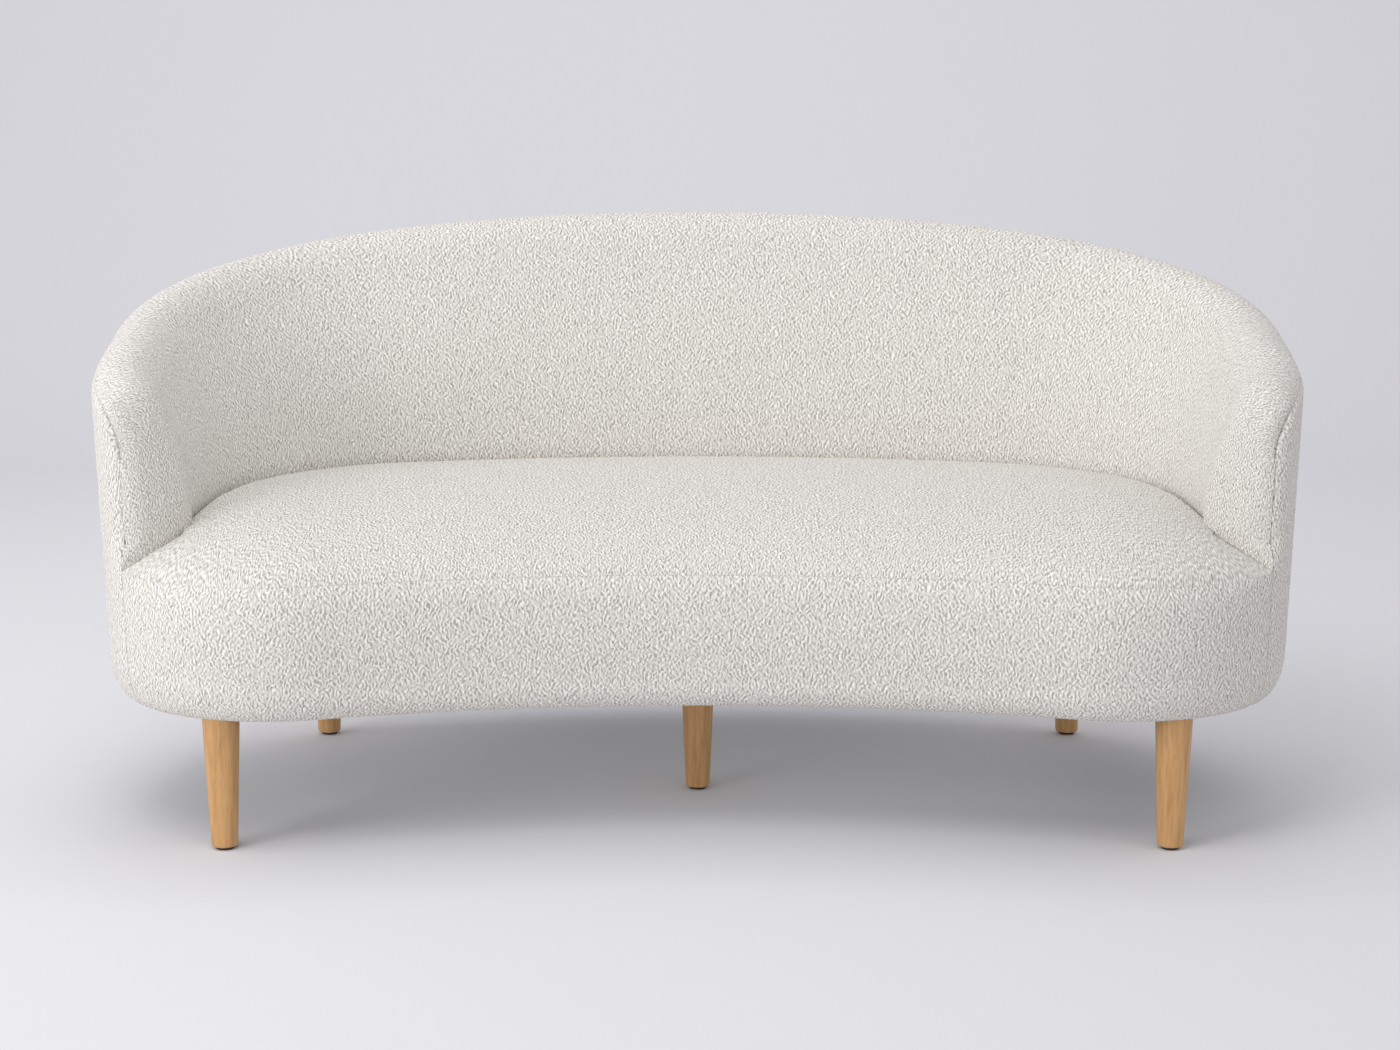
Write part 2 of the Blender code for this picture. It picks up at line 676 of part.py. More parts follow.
board("top_rail", WALL_ONLY, (lambda u: core_top(u) - RAIL_HEIGHT, core_top),
      lambda u, z: outside(u, z) - FRAME_IN, core_inside, "plywood")
board("inside_skin", WALL_ONLY, [core_top] + core_heights + [lambda u: SEAT_RING_TOP + GAP],
      lambda u, z: core_inside(u, z) - GAP - SKIN, lambda u, z: core_inside(u, z) - GAP, "board")
board("outside_skin", WALL_ONLY, (lambda u: RING_BASE + SKIN_LIFT, lambda u: SEAM, core_top),
      skin_outer, skin_inner, "board")

FRONT_WRAP = [(1.0, WALL_END + GAP, 0.0)]
FRONT_WRAP += [(1.0, u, 0.0) for u in RING_U if u > WALL_END + LEAST_STEP]
FRONT_WRAP += [(-1.0, u, 0.0) for _, u, _ in FRONT_WRAP[-2::-1]]
board("front_skin", FRONT_WRAP, (lambda u: RING_BASE + SKIN_LIFT, lambda u: SEAT_RING_TOP),
      skin_outer, skin_inner, "board")


# Padding and covers of the back and arms
def roll_row(turn, inset):
    def row(station):
        u, share = nose(station, inset)
        d, z = roll_point(u, share, turn, inset)
        return place(u, d, z)
    return row


def inside_row(f, inset, tuck=0.0):
    """Row of the inside face, from the roll at f = 0 to the crease at f = 1, or below it by a tuck."""
    def row(station):
        u, share = nose(station, inset)
        crease = crease_height(u, share)
        middle = wall(u)[0] - ROLL_HEIGHT
        z = middle + (crease - middle) * f - tuck * share
        fallen = nose_fall(u, share, z)
        d = inside_face(u, share, z, inset, crease) + outside(u, fallen) - outside(u, z)
        return place(u, d, fallen)
    return row


def deck_row(inset):
    def row(station):
        u, share = nose(station, inset)
        return place(u, inside_face(u, share, DECK, inset, crease_height(u, share)), DECK)
    return row


def core_row(height, across):
    """Row on the timber core: across runs from its outer face at 0 to its inner face at 1."""
    def row(station):
        side, length, turn = station
        u = side * (length if turn == 0.0 else WALL_END)
        share = math.cos(turn)
        z = height(u)
        outer = outside(u, z) - COVER - GAP - OUTSIDE_PAD
        inner = core_inside(u, z) - 2 * GAP - SKIN
        along = u if turn == 0.0 else side * (WALL_END + GAP)
        return place(along, outer + (inner - outer) * across * share, z)
    return row


turns = np.linspace(SEAM_TURN + SEAM_SLIT, math.pi, 7)


def inside_rows(inset):
    rows = [roll_row(t, inset) for t in turns] + [inside_row(f, inset) for f in faces]
    return rows + [inside_row(1.0, inset, COVER_TUCK)]


layer("inside_cover", grid(STATIONS, inside_rows(0.0)), grid(STATIONS, inside_rows(COVER)), "boucle")

outer = inside_rows(COVER + GAP) + [deck_row(COVER + GAP)]
across = np.linspace(0.0, 1.0, len(turns) - 1)
inner = [core_row(lambda u: core_top(u) + FOAM_FIT, a) for a in across]
inner += [core_row(h, 1.0) for h in core_heights]
layer("inside_foam", grid(STATIONS, outer), grid(STATIONS, inner), "foam")


def outer_row(f, inset):
    """Row of the outer face, from the roll at f = 0 to the start of the lower edge at f = 1."""
    def row(station):
        u, share = nose(station, 0.0)
        middle = wall(u)[0] - ROLL_HEIGHT
        z = nose_fall(u, share, middle + (UNDERSIDE + EDGE_ROLL - middle) * f)
        return place(u, outside(u, z) - inset, z)
    return row


def edge_row(turn, inset):
    """Row of the rounded lower edge, from the outer face at 0 to the underside at a quarter turn."""
    def row(station):
        u, _ = nose(station, 0.0)
        z = UNDERSIDE + EDGE_ROLL
        d = outside(u, z) - EDGE_ROLL + (EDGE_ROLL - inset) * math.cos(turn)
        return place(u, d, z - (EDGE_ROLL - inset) * math.sin(turn))
    return row


edge_turns = [math.pi / 2 * i / 3 for i in (1, 2, 3)]
rim_turns = (SEAM_TURN - SEAM_SLIT, SEAM_TURN / 2)
outer_shares = (0.0, 0.35, 0.7)


def outside_rows(inset):
    rows = [roll_row(t, inset) for t in rim_turns] + [outer_row(f, inset) for f in (*outer_shares, 1.0)]
    return rows + [edge_row(t, inset) for t in edge_turns]


layer("outside_cover", grid(STATIONS, outside_rows(0.0)), grid(STATIONS, outside_rows(COVER)), "boucle")

PAD_FOOT = UNDERSIDE + EDGE_ROLL + GAP
PAD_IN = COVER + GAP + OUTSIDE_PAD


def pad_top(turn):
    """Height of the inner side of the outside pad that goes with a turn of the rim on its outer side."""
    share = math.sin(turn) / math.sin(rim_turns[0])
    return lambda u: wall(u)[0] - ROLL_HEIGHT + (ROLL_HEIGHT - TOP_PAD - GAP) * share


pad_outer = [roll_row(t, COVER + GAP) for t in rim_turns]
pad_outer += [outer_row(f, COVER + GAP) for f in outer_shares]
pad_outer += [skin_row(lambda u: PAD_FOOT, lambda u, z: outside(u, z) - COVER - GAP)]
pad_inner = [skin_row(pad_top(t), lambda u, z: outside(u, z) - PAD_IN) for t in rim_turns]
pad_inner += [outer_row(f, PAD_IN) for f in outer_shares]
pad_inner += [skin_row(lambda u: PAD_FOOT, lambda u, z: outside(u, z) - PAD_IN)]
layer("outside_pad", grid(WALL_ONLY, pad_outer), grid(WALL_ONLY, pad_inner), "foam")


# Front border
def belly(u, z):
    low = UNDERSIDE + EDGE_ROLL
    rise = math.sin(math.pi * min(1.0, max(0.0, (z - low) / (SEAM - low))))
    return BORDER_BELLY * rise * smooth((abs(u) - ARM_SEAM) / (plan.ends[3] - ARM_SEAM) * 2.0)


def border(z, inset):
    def row(u):
        side = 1.0 if u >= 0 else -1.0
        q = max(abs(u), ARM_SEAM + GAP)
        return place(side * q, outside(q, z) + belly(q, z) - inset, z)
    return row


def border_edge(turn, inset):
    def row(u):
        side = 1.0 if u >= 0 else -1.0
        q = max(abs(u), ARM_SEAM + GAP)
        z = UNDERSIDE + EDGE_ROLL
        d = outside(q, z) - EDGE_ROLL + (EDGE_ROLL - inset) * math.cos(turn)
        return place(side * q, d, z - (EDGE_ROLL - inset) * math.sin(turn))
    return row


low = UNDERSIDE + EDGE_ROLL
levels = [SEAM - GAP] + [SEAM + (low - SEAM) * f for f in faces]


def front_rows(inset):
    return [border(z, inset) for z in levels] + [border_edge(t, inset) for t in edge_turns]


layer("front_cover", grid(FRONT, front_rows(0.0)), grid(FRONT, front_rows(COVER)), "boucle")
board("front_pad", FRONT_WRAP, [lambda u, z=z: z for z in (DECK - GAP, levels[2], PAD_FOOT)],
      lambda u, z: outside(u, z) + belly(u, z) - COVER - FOAM_FIT,
      lambda u, z: outside(u, z) - PAD_IN, "foam")

# Seat: rows from the front seam across the crown to the crease
SEAT_ROWS = (0.0, 0.02, 0.07, 0.15, 0.3, 0.55, 0.85, 0.95, 1.0)


def seat_grid(rows, inset, foot=None):
    """Points of the seat for shares of the way from the front seam to the crease, or of its flat foot."""
    start = ARM_SEAM + CREASE_FIT + inset
    level = SEAM if foot is None else foot
    front = []
    for u in FRONT:
        along = math.copysign(max(abs(u), start), u)
        front.append(place(along, outside(u, level) - inset, level)[:2])
    back = crease_line(CREASE_FIT + inset)
    if foot is not None:
        back = np.array(grid(STATIONS, [deck_row(-CREASE_FIT - inset)])[0])
    longest = BODY_DEPTH - BACK_THICKNESS
    result = []
    for share in rows:
        line = []
        for (x0, y0), (x1, y1, _) in zip(front, back):
            x = x0 + (x1 - x0) * share
            y = y0 + (y1 - y0) * share
            if foot is not None:
                line.append((x, y, foot))
                continue
            span = math.hypot(x1 - x0, y1 - y0)
            distance = from_front(x, y) if share > 0.0 else 0.0
            crown = SEAT_CROWN * math.sin(math.pi * share) * min(1.0, span / longest)
            z = seat_height(distance, inset) + crown
            drop = 1.0 - quarter((1.0 - share) * span / CREASE_ROLL)
            z -= CREASE_DROP * drop * min(1.0, distance / SEAT_EASE)
            line.append((x, y, z + (GAP if share == 0.0 else 0.0)))
        result.append(line)
    return result


def tuck_line(outset):
    return grid(STATIONS, [inside_row(1.0, -outset, COVER_TUCK)])


layer("seat_cover", seat_grid(SEAT_ROWS, 0.0) + tuck_line(CREASE_FIT),
      seat_grid(SEAT_ROWS, COVER) + tuck_line(CREASE_FIT + COVER), "boucle")
foam_in = COVER + FOAM_FIT
foot_rows = np.linspace(0.0, 1.0, len(SEAT_ROWS) + 1)
layer("seat_foam", seat_grid(SEAT_ROWS, foam_in) + tuck_line(CREASE_FIT + foam_in),
      seat_grid(foot_rows, foam_in, DECK), "foam")

# Dust cover under the base, pierced by the bolts
dust = plate("dust_cover", outline_at(UNDERSIDE + EDGE_ROLL, lambda u: EDGE_ROLL + 2 * GAP), None,
             LEG_TOP + GAP, LEG_TOP + GAP + DUST_COVER, "dust_cloth")
cut(dust, list(cutters.values()))

# Centre the part over the origin
span = [v.co.y for name in ("front_cover", "outside_cover") for v in bpy.data.objects[name].data.vertices]
for item in bpy.data.objects:
    item.location.y -= (min(span) + max(span)) / 2
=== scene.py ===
import math

import bmesh
import bpy
import numpy as np
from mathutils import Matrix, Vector
from mathutils.geometry import delaunay_2d_cdt


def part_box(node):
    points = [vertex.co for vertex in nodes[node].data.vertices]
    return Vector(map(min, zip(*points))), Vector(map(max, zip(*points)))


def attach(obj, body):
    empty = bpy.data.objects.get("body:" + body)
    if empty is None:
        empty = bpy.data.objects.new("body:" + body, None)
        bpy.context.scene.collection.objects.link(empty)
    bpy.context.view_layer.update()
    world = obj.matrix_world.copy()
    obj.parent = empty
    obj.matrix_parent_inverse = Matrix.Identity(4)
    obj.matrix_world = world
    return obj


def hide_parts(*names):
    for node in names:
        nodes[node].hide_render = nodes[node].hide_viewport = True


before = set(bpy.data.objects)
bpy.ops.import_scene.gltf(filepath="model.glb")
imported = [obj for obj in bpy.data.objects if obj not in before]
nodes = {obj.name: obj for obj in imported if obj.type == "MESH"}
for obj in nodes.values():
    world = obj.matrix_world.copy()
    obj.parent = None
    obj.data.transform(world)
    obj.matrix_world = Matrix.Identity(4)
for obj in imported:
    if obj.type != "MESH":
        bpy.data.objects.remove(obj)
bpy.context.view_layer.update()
scene = bpy.context.scene
print("frame loaded:", len(nodes), "nodes")


def addObject(name, data):
    item = bpy.data.objects.new(name, data)
    scene.collection.objects.link(item)
    return item


def addMesh(name, vertices, edges, faces):
    made = bpy.data.meshes.new(name)
    made.from_pydata(vertices, edges, faces)
    return addObject(name, made)


def smoothObject(name, vertices, faces, material, sharp=None):
    item = addMesh(name, vertices, [], faces)
    item.data.shade_smooth()
    if sharp is not None:
        item.data.set_sharp_from_angle(angle=sharp)
    item.data.materials.append(material)
    return item


def planMiddle(node):
    low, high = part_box(node)
    return (low.x + high.x) / 2, (low.y + high.y) / 2


# camera, worked out from where the legs meet the floor in the photograph
cameraSetup = {"lens": 63.0, "sensor": 36.0, "height": 0.983, "fromFrontLegs": 3.192, "pitch": 9.61,
               "sideStep": 0.0034}
cameraData = bpy.data.cameras.new("photoCamera")
cameraData.lens = cameraSetup["lens"]
cameraData.sensor_width = cameraSetup["sensor"]
camera = addObject("photoCamera", cameraData)
cameraY = planMiddle("leg_front_right")[1] - cameraSetup["fromFrontLegs"]
camera.location = (cameraSetup["sideStep"], cameraY, cameraSetup["height"])
camera.rotation_euler = (math.radians(90 - cameraSetup["pitch"]), 0, 0)
scene.camera = camera
scene.view_settings.view_transform = "Standard"
print("camera set")


# node helpers: an input takes a plain value or another node's output
def setInputs(tree, node, values):
    for key, value in values.items():
        if isinstance(value, bpy.types.NodeSocket):
            tree.links.new(value, node.inputs[key])
        else:
            node.inputs[key].default_value = value
    return node


def addNode(tree, kind, values=None, **settings):
    node = tree.nodes.new(kind)
    for key, value in settings.items():
        setattr(node, key, value)
    return setInputs(tree, node, values or {})


def finished(made, values):
    setInputs(made.node_tree, made.node_tree.nodes["Principled BSDF"], values)
    return made


def newMaterial(name, roughness, metallic=0.0):
    made = bpy.data.materials.new(name)
    made.use_nodes = True
    return finished(made, {"Roughness": roughness, "Metallic": metallic}), made.node_tree


def objectSpot(tree, stretch=None):
    spot = addNode(tree, "ShaderNodeTexCoord").outputs["Object"]
    if stretch is None:
        return spot
    return addNode(tree, "ShaderNodeMapping", {"Vector": spot, "Scale": stretch}).outputs[0]


def addNoise(tree, spot, values):
    return addNode(tree, "ShaderNodeTexNoise", {"Vector": spot, **values}).outputs["Fac"]


def addWave(tree, direction, values):
    values = {"Vector": objectSpot(tree), **values}
    return addNode(tree, "ShaderNodeTexWave", values, bands_direction=direction).outputs["Fac"]


def addRamp(tree, value, stops):
    ramp = addNode(tree, "ShaderNodeValToRGB", {0: value})
    while len(ramp.color_ramp.elements) < len(stops):
        ramp.color_ramp.elements.new(0.5)
    for element, (spot, colour) in zip(ramp.color_ramp.elements, stops):
        element.position = spot
        element.color = (*colour, 1.0)
    return ramp.outputs["Color"]


def mottled(tree, noise, stops, stretch=None):
    # noise on Object coordinates, and the colours that it gives
    speck = addNoise(tree, objectSpot(tree, stretch), noise)
    return speck, addRamp(tree, speck, stops)


def multiplied(tree, share, a, b):
    mix = addNode(tree, "ShaderNodeMix", {0: share, 6: a, 7: b}, data_type="RGBA", blend_type="MULTIPLY")
    return mix.outputs[2]


def addBump(tree, height, strength, distance):
    values = {"Strength": strength, "Distance": distance, "Height": height}
    return addNode(tree, "ShaderNodeBump", values).outputs["Normal"]


def maths(tree, kind, a, b):
    return addNode(tree, "ShaderNodeMath", {0: a, 1: b}, operation=kind).outputs[0]


def vectors(tree, kind, a, b):
    second = "Scale" if kind == "SCALE" else 1
    return addNode(tree, "ShaderNodeVectorMath", {0: a, second: b}, operation=kind).outputs[0]


def weighed(tree, a, b, share):
    # a by its share and b by the rest
    rest = maths(tree, "MULTIPLY", b, 1.0 - share)
    return maths(tree, "ADD", maths(tree, "MULTIPLY", a, share), rest)


def newTree(name, sizes):
    # a geometry tree with named inputs for its sizes and its material
    tree = bpy.data.node_groups.new(name, "GeometryNodeTree")
    socket = tree.interface.new_socket
    socket("Geometry", in_out="INPUT", socket_type="NodeSocketGeometry")
    for label, value in sizes.items():
        socket(label, in_out="INPUT", socket_type="NodeSocketFloat").default_value = value
    socket("Material", in_out="INPUT", socket_type="NodeSocketMaterial")
    socket("Geometry", in_out="OUTPUT", socket_type="NodeSocketGeometry")
    return tree, tree.nodes.new("NodeGroupInput").outputs


def endTree(tree, geometry, material):
    real = addNode(tree, "GeometryNodeRealizeInstances", {0: geometry})
    paint = addNode(tree, "GeometryNodeSetMaterial", {"Geometry": real.outputs[0], "Material": material})
    addNode(tree, "NodeGroupOutput", {0: paint.outputs[0]})
    return tree


def applyTree(item, tree, inputs):
    # inputs are set by socket identifier, then the result becomes a plain mesh
    modifier = item.modifiers.new(tree.name, "NODES")
    modifier.node_group = tree
    for socket in tree.interface.items_tree:
        if socket.in_out == "INPUT" and socket.name in inputs:
            modifier[socket.identifier] = inputs[socket.name]
    made = bpy.data.meshes.new_from_object(item.evaluated_get(bpy.context.evaluated_depsgraph_get()))
    made.name = item.name
    old = item.data
    item.modifiers.clear()
    item.data = made
    bpy.data.meshes.remove(old)


# the sofa's own form: the same driving sizes as the solids, in metres
sofa = {"bodyWidth": 1.650, "bodyDepth": 0.760, "backRadius": 1.750, "cornerRadius": 0.430,
        "noseRadius": 0.250, "frontRadius": 1.600, "sideLean": 0.030, "borderBelly": 0.006,
        "backRise": 0.453, "armRise": 0.237, "topLinePower": 2.2, "backThickness": 0.200,
        "armThickness": 0.118, "backRoll": 0.100, "armRoll": 0.092, "rollHeight": 0.047,
        "insideBelly": 0.008, "armSeamAngle": math.radians(38), "armNose": 0.070, "armBlendStart": 0.25,
        "noseDrop": 0.045, "seamTurn": math.radians(22.5), "tuck": 0.022, "seamAboveDeck": 0.018,
        "seatRise": 0.083, "seatEase": 0.140, "seatCrown": 0.010, "creaseDrop": 0.012, "creaseRoll": 0.030,
        "cover": 0.003, "underCloth": 0.0012, "gap": 0.0003, "pad": 0.015, "edgeIn": 0.031, "edgeUp": 0.038,
        "edgeUpSide": 0.064, "edgeFade": 0.2, "backFoam": 0.095, "armFoam": 0.048, "topFoam": 0.036,
        "topPad": 0.035}
gap, cover, rollHeight, armNose = (sofa[key] for key in ("gap", "cover", "rollHeight", "armNose"))
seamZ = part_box("front_cover")[1].z + gap
deckZ = seamZ - sofa["seamAboveDeck"]
underZ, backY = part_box("outside_cover")[0].z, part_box("outside_cover")[1].y

# seams are sewn grooves whose edges turn in, and the seat bends softly to the front
seams = {"depth": 0.0012, "width": 0.0045, "turnIn": 0.0026, "frontDepth": 0.0004, "lap": 0.0022,
         "seatLap": 0.8, "open": 0.00005, "lip": 0.012, "seatIn": 0.018}
bend = {"inward": 0.0078, "down": 0.0045, "onSeat": 0.031, "onFront": 0.0365, "fade": 0.090}
# the wall rounds back into the crease, and more so beside the arms
tuckIn = {"back": 0.006, "run": 0.028, "armBack": 0.007, "armRun": 0.024, "armFrom": 0.42, "armRise": 0.26,
          "armTo": 0.16, "armDrop": 0.018, "armRoll": 0.028, "growth": 1.6}
# the arm front is a blunt round in plan, and its top falls towards the seam
nose = {"blunt": 0.68, "fall": 1.5, "samples": 3001}
# the outer corner of the arm front is rounded across its seam, most in the middle of its height
corner = {"radius": 0.042, "from": 0.005, "full": 0.046, "fullTurn": math.radians(75), "reach": 0.002,
          "smallest": 1e-6, "turns": 121, "drops": 80}


def smoothStep(t):
    t = np.clip(t, 0.0, 1.0)
    return t * t * (3.0 - 2.0 * t)


def makePlan():
    half = sofa["bodyWidth"] / 2
    back = np.array([0.0, backY - sofa["backRadius"]])
    front = np.array([0.0, backY - sofa["bodyDepth"] - sofa["frontRadius"]])
    cornerX, noseX = half - sofa["cornerRadius"], half - sofa["noseRadius"]
    toCorner, toNose = sofa["backRadius"] - sofa["cornerRadius"], sofa["frontRadius"] + sofa["noseRadius"]
    cornerSpot = np.array([cornerX, back[1] + math.sqrt(toCorner ** 2 - cornerX ** 2)])
    noseSpot = np.array([noseX, front[1] + math.sqrt(toNose ** 2 - noseX ** 2)])
    cornerAngle = math.atan2(cornerSpot[1] - back[1], cornerX)
    frontAngle = math.atan2(noseSpot[1] - front[1], noseX)
    lengths = [sofa["backRadius"] * (math.pi / 2 - cornerAngle), sofa["cornerRadius"] * cornerAngle,
               cornerSpot[1] - noseSpot[1], sofa["noseRadius"] * (math.pi - frontAngle),
               sofa["frontRadius"] * (math.pi / 2 - frontAngle)]
    return {"back": back, "front": front, "corner": cornerSpot, "nose": noseSpot, "cornerAngle": cornerAngle,
            "frontAngle": frontAngle, "ends": np.cumsum(lengths)}


plan = makePlan()
ends = plan["ends"]
armSeam = ends[2] + sofa["noseRadius"] * sofa["armSeamAngle"]
wallEnd = armSeam - armNose
thinFrom = ends[0] + sofa["armBlendStart"] * (ends[1] - ends[0])


def planAt(u):
    # place and outward direction at a length round the base, from the middle of the back
    side = np.where(u >= 0, 1.0, -1.0)
    q = np.minimum(np.abs(u), ends[-1])
    zones = [q <= ends[0], q <= ends[1], q <= ends[2], q <= ends[3], q > ends[3]]
    angle = np.select(zones, [math.pi / 2 - q / sofa["backRadius"],
                              plan["cornerAngle"] - (q - ends[0]) / sofa["cornerRadius"], 0.0,
                              -(q - ends[2]) / sofa["noseRadius"],
                              plan["frontAngle"] + (q - ends[3]) / sofa["frontRadius"]])
    radius = np.select(zones, [sofa["backRadius"], sofa["cornerRadius"], 0.0, sofa["noseRadius"],
                               sofa["frontRadius"]])
    centreX = np.select(zones, [0.0, plan["corner"][0], sofa["bodyWidth"] / 2, plan["nose"][0], 0.0])
    centreY = np.select(zones, [plan["back"][1], plan["corner"][1], plan["corner"][1] - (q - ends[1]),
                                plan["nose"][1], plan["front"][1]])
    turned = np.where(q > ends[3], -1.0, 1.0)
    rayX, rayY = np.cos(angle), np.sin(angle)
    return side * (centreX + radius * rayX), centreY + radius * rayY, side * turned * rayX, turned * rayY


def place(u, d, z):
    x, y, normalX, normalY = planAt(u)
    return np.stack([x + d * normalX, y + d * normalY, np.broadcast_to(z, x.shape)], axis=-1)


def outsideAt(u, z):
    start = ends[0] / 2
    return sofa["sideLean"] * smoothStep((np.abs(u) - start) / (ends[1] - start)) * (z - seamZ)


def lowerEdge(u):
    # height of the rounded lower edge, largest round the arms
    q = np.abs(u)
    side = smoothStep((q - ends[0]) / (ends[1] - ends[0]))
    side = side * (1.0 - smoothStep((q - armSeam) / (ends[3] - armSeam + sofa["edgeFade"])))
    return sofa["edgeUp"] + (sofa["edgeUpSide"] - sofa["edgeUp"]) * side


def wallAt(u):
    # the wall's top, its thickness at the roll and at the seat, and its share of arm
    q = np.minimum(1.0, np.abs(u) / armSeam)
    top = seamZ + sofa["backRise"] - (sofa["backRise"] - sofa["armRise"]) * q ** sofa["topLinePower"]
    arm = smoothStep((np.abs(u) - thinFrom) / (armSeam - thinFrom))
    low = sofa["backThickness"] + (sofa["armThickness"] - sofa["backThickness"]) * arm
    roll = sofa["backRoll"] + (sofa["armRoll"] - sofa["backRoll"]) * arm
    return top, roll, low, arm


def fromFront(x, y):
    # distance to the front seam line: the nose arc, the hollow arc, or the end at the arm seam
    x = np.abs(x)
    noseX, noseY = x - plan["nose"][0], y - plan["nose"][1]
    noseTurn = np.arctan2(noseY, noseX)
    onNose = (noseTurn <= -sofa["armSeamAngle"]) & (noseTurn >= -(math.pi - plan["frontAngle"]))
    toNose = np.where(onNose, np.abs(sofa["noseRadius"] - np.hypot(noseX, noseY)), np.inf)
    onFront = np.arctan2(y - plan["front"][1], x) >= plan["frontAngle"]
    toFront = np.where(onFront, np.abs(np.hypot(x, y - plan["front"][1]) - sofa["frontRadius"]), np.inf)
    endX = plan["nose"][0] + sofa["noseRadius"] * math.cos(sofa["armSeamAngle"])
    endY = plan["nose"][1] - sofa["noseRadius"] * math.sin(sofa["armSeamAngle"])
    return np.minimum(np.minimum(toNose, toFront), np.hypot(x - endX, y - endY))


def quarterRound(t):
    return np.sqrt(1.0 - (1.0 - np.clip(t, 0.0, 1.0)) ** 2)


def seatHeight(distance):
    return seamZ + sofa["seatRise"] * (1.0 - np.exp(-distance / sofa["seatEase"]))


def nearArm(u):
    # 1 beside the arms, where the crease is deepest, and 0 at the back and at the arm fronts
    behind = np.abs(u) - wallEnd
    front = 1.0 - smoothStep((behind + tuckIn["armTo"]) / tuckIn["armTo"])
    return smoothStep((behind + tuckIn["armFrom"]) / tuckIn["armRise"]) * front


def creaseFall(u, distance):
    # how far the seat falls into the crease, least at the front seam and most beside the arms
    fall = sofa["creaseDrop"] + tuckIn["armDrop"] * nearArm(u)
    return fall * (1.0 - np.exp(-tuckIn["growth"] * distance / sofa["seatEase"]))


def insideFace(u, share, z, crease, inset=0.0):
    top, roll, low = wallAt(u)[:3]
    middle = top - rollHeight
    edge = outsideAt(u, z) - seams["depth"] - abs(inset)
    f = (z - middle) / (crease - middle)
    d = (outsideAt(u, middle) - roll) * (1.0 - f) - low * f + inset
    d = d - sofa["insideBelly"] * np.sin(math.pi * np.clip(f, 0.0, 1.0))
    arm = nearArm(u)
    depth, run = tuckIn["back"] + tuckIn["armBack"] * arm, tuckIn["run"] + tuckIn["armRun"] * arm
    d = d + depth * np.clip(1.0 - (z - crease) / run, 0.0, 1.0) ** 2
    return edge + (d - edge) * share


def creaseHeight(u, share):
    level = seamZ + sofa["seatRise"]
    spot = place(u, insideFace(u, share, level, level), level)
    distance = fromFront(spot[..., 0], spot[..., 1])
    return seatHeight(distance) - creaseFall(u, distance)


def noseFall(u, share, z):
    # the arm front rounds down to its seam in height as well as in plan
    bottom = wallAt(u)[0] - rollHeight - sofa["noseDrop"]
    return np.where(z > bottom, bottom + (z - bottom) * share ** nose["fall"], z)


def rollPoint(u, share, turn, inset=0.0):
    # offset and height on the rolled top edge
    top, roll = wallAt(u)[:2]
    middle = top - rollHeight
    centre = outsideAt(u, noseFall(u, share, middle)) - roll / 2
    edge = centre + (roll / 2 - inset) * math.cos(sofa["seamTurn"])
    d = centre + (roll / 2 - inset) * math.cos(turn)
    d = np.where(d < edge, edge + (d - edge) * share, d)
    return d, noseFall(u, share, middle + (rollHeight - inset) * math.sin(turn))


def noseShape(turns):
    return np.sin(turns) ** nose["blunt"], np.maximum(np.cos(turns), 0.0) ** nose["blunt"]


def noseTurns(count):
    # turns from the arm to its seam, evenly spaced along the round
    turns = np.linspace(0.0, math.pi / 2, nose["samples"])
    forward, share = noseShape(turns)
    run = np.cumsum(np.hypot(np.diff(forward) * armNose, np.diff(share) * sofa["armThickness"]))
    return np.interp(np.linspace(0.0, 1.0, count), np.concatenate([[0.0], run]) / run[-1], turns)


def seamCurve():
    # the arm seam in length and height: down with the falling top edge, then straight down to the seat
    turns = noseTurns(corner["turns"])
    forward, share = noseShape(turns)
    u = wallEnd + armNose * forward
    z = rollPoint(u, share, sofa["seamTurn"])[1]
    down = np.linspace(z[-1], seamZ, corner["drops"])[1:]
    line = np.stack([np.concatenate([u, 0 * down + armSeam]), np.concatenate([z, down])], axis=-1)
    along = np.gradient(line, axis=0)
    along /= np.linalg.norm(along, axis=1)[:, None]
    rise = (down - seamZ - corner["from"]) / (corner["full"] - corner["from"])
    radius = corner["radius"] * np.concatenate([smoothStep(turns / corner["fullTurn"]), smoothStep(rise)])
    return line, np.stack([-along[:, 1], along[:, 0]], axis=-1), radius


armCurve, armNormal, armRadius = seamCurve()


def placeRounded(u, d, z, onOutside, behind=0.0):
    # points by length, offset and height, those near the arm seam moved onto its rounding
    u, d, z = (np.array(np.broadcast_to(v, np.shape(u)), dtype=float) for v in (u, d, z))
    near = np.nonzero((np.abs(u) > wallEnd - corner["reach"]) & (z > seamZ))[0]
    if len(near):
        q = np.abs(u[near])
        away = np.hypot(q[:, None] - armCurve[:, 0], z[near][:, None] - armCurve[:, 1])
        spot = away.argmin(axis=1)
        radius = np.maximum(armRadius[spot], corner["smallest"])
        depth = outsideAt(u[near], z[near]) - seams["depth"] - d[near]
        other = away[np.arange(len(near)), spot] if onOutside else np.maximum(0.0, depth)
        turn = math.pi / 4 * np.clip(1.0 - other / radius, 0.0, 1.0)
        slide = np.where(turn > 0, radius * (1.0 - np.sin(turn)) - other, 0.0)
        cut = radius * (1.0 - np.cos(turn))
        across, inward = (slide, cut) if onOutside else (cut, slide)
        u[near] = np.sign(u[near]) * (q - armNormal[spot, 0] * across)
        z[near] = z[near] - armNormal[spot, 1] * across
        d[near] = d[near] - inward
    return place(u, d - behind, z)


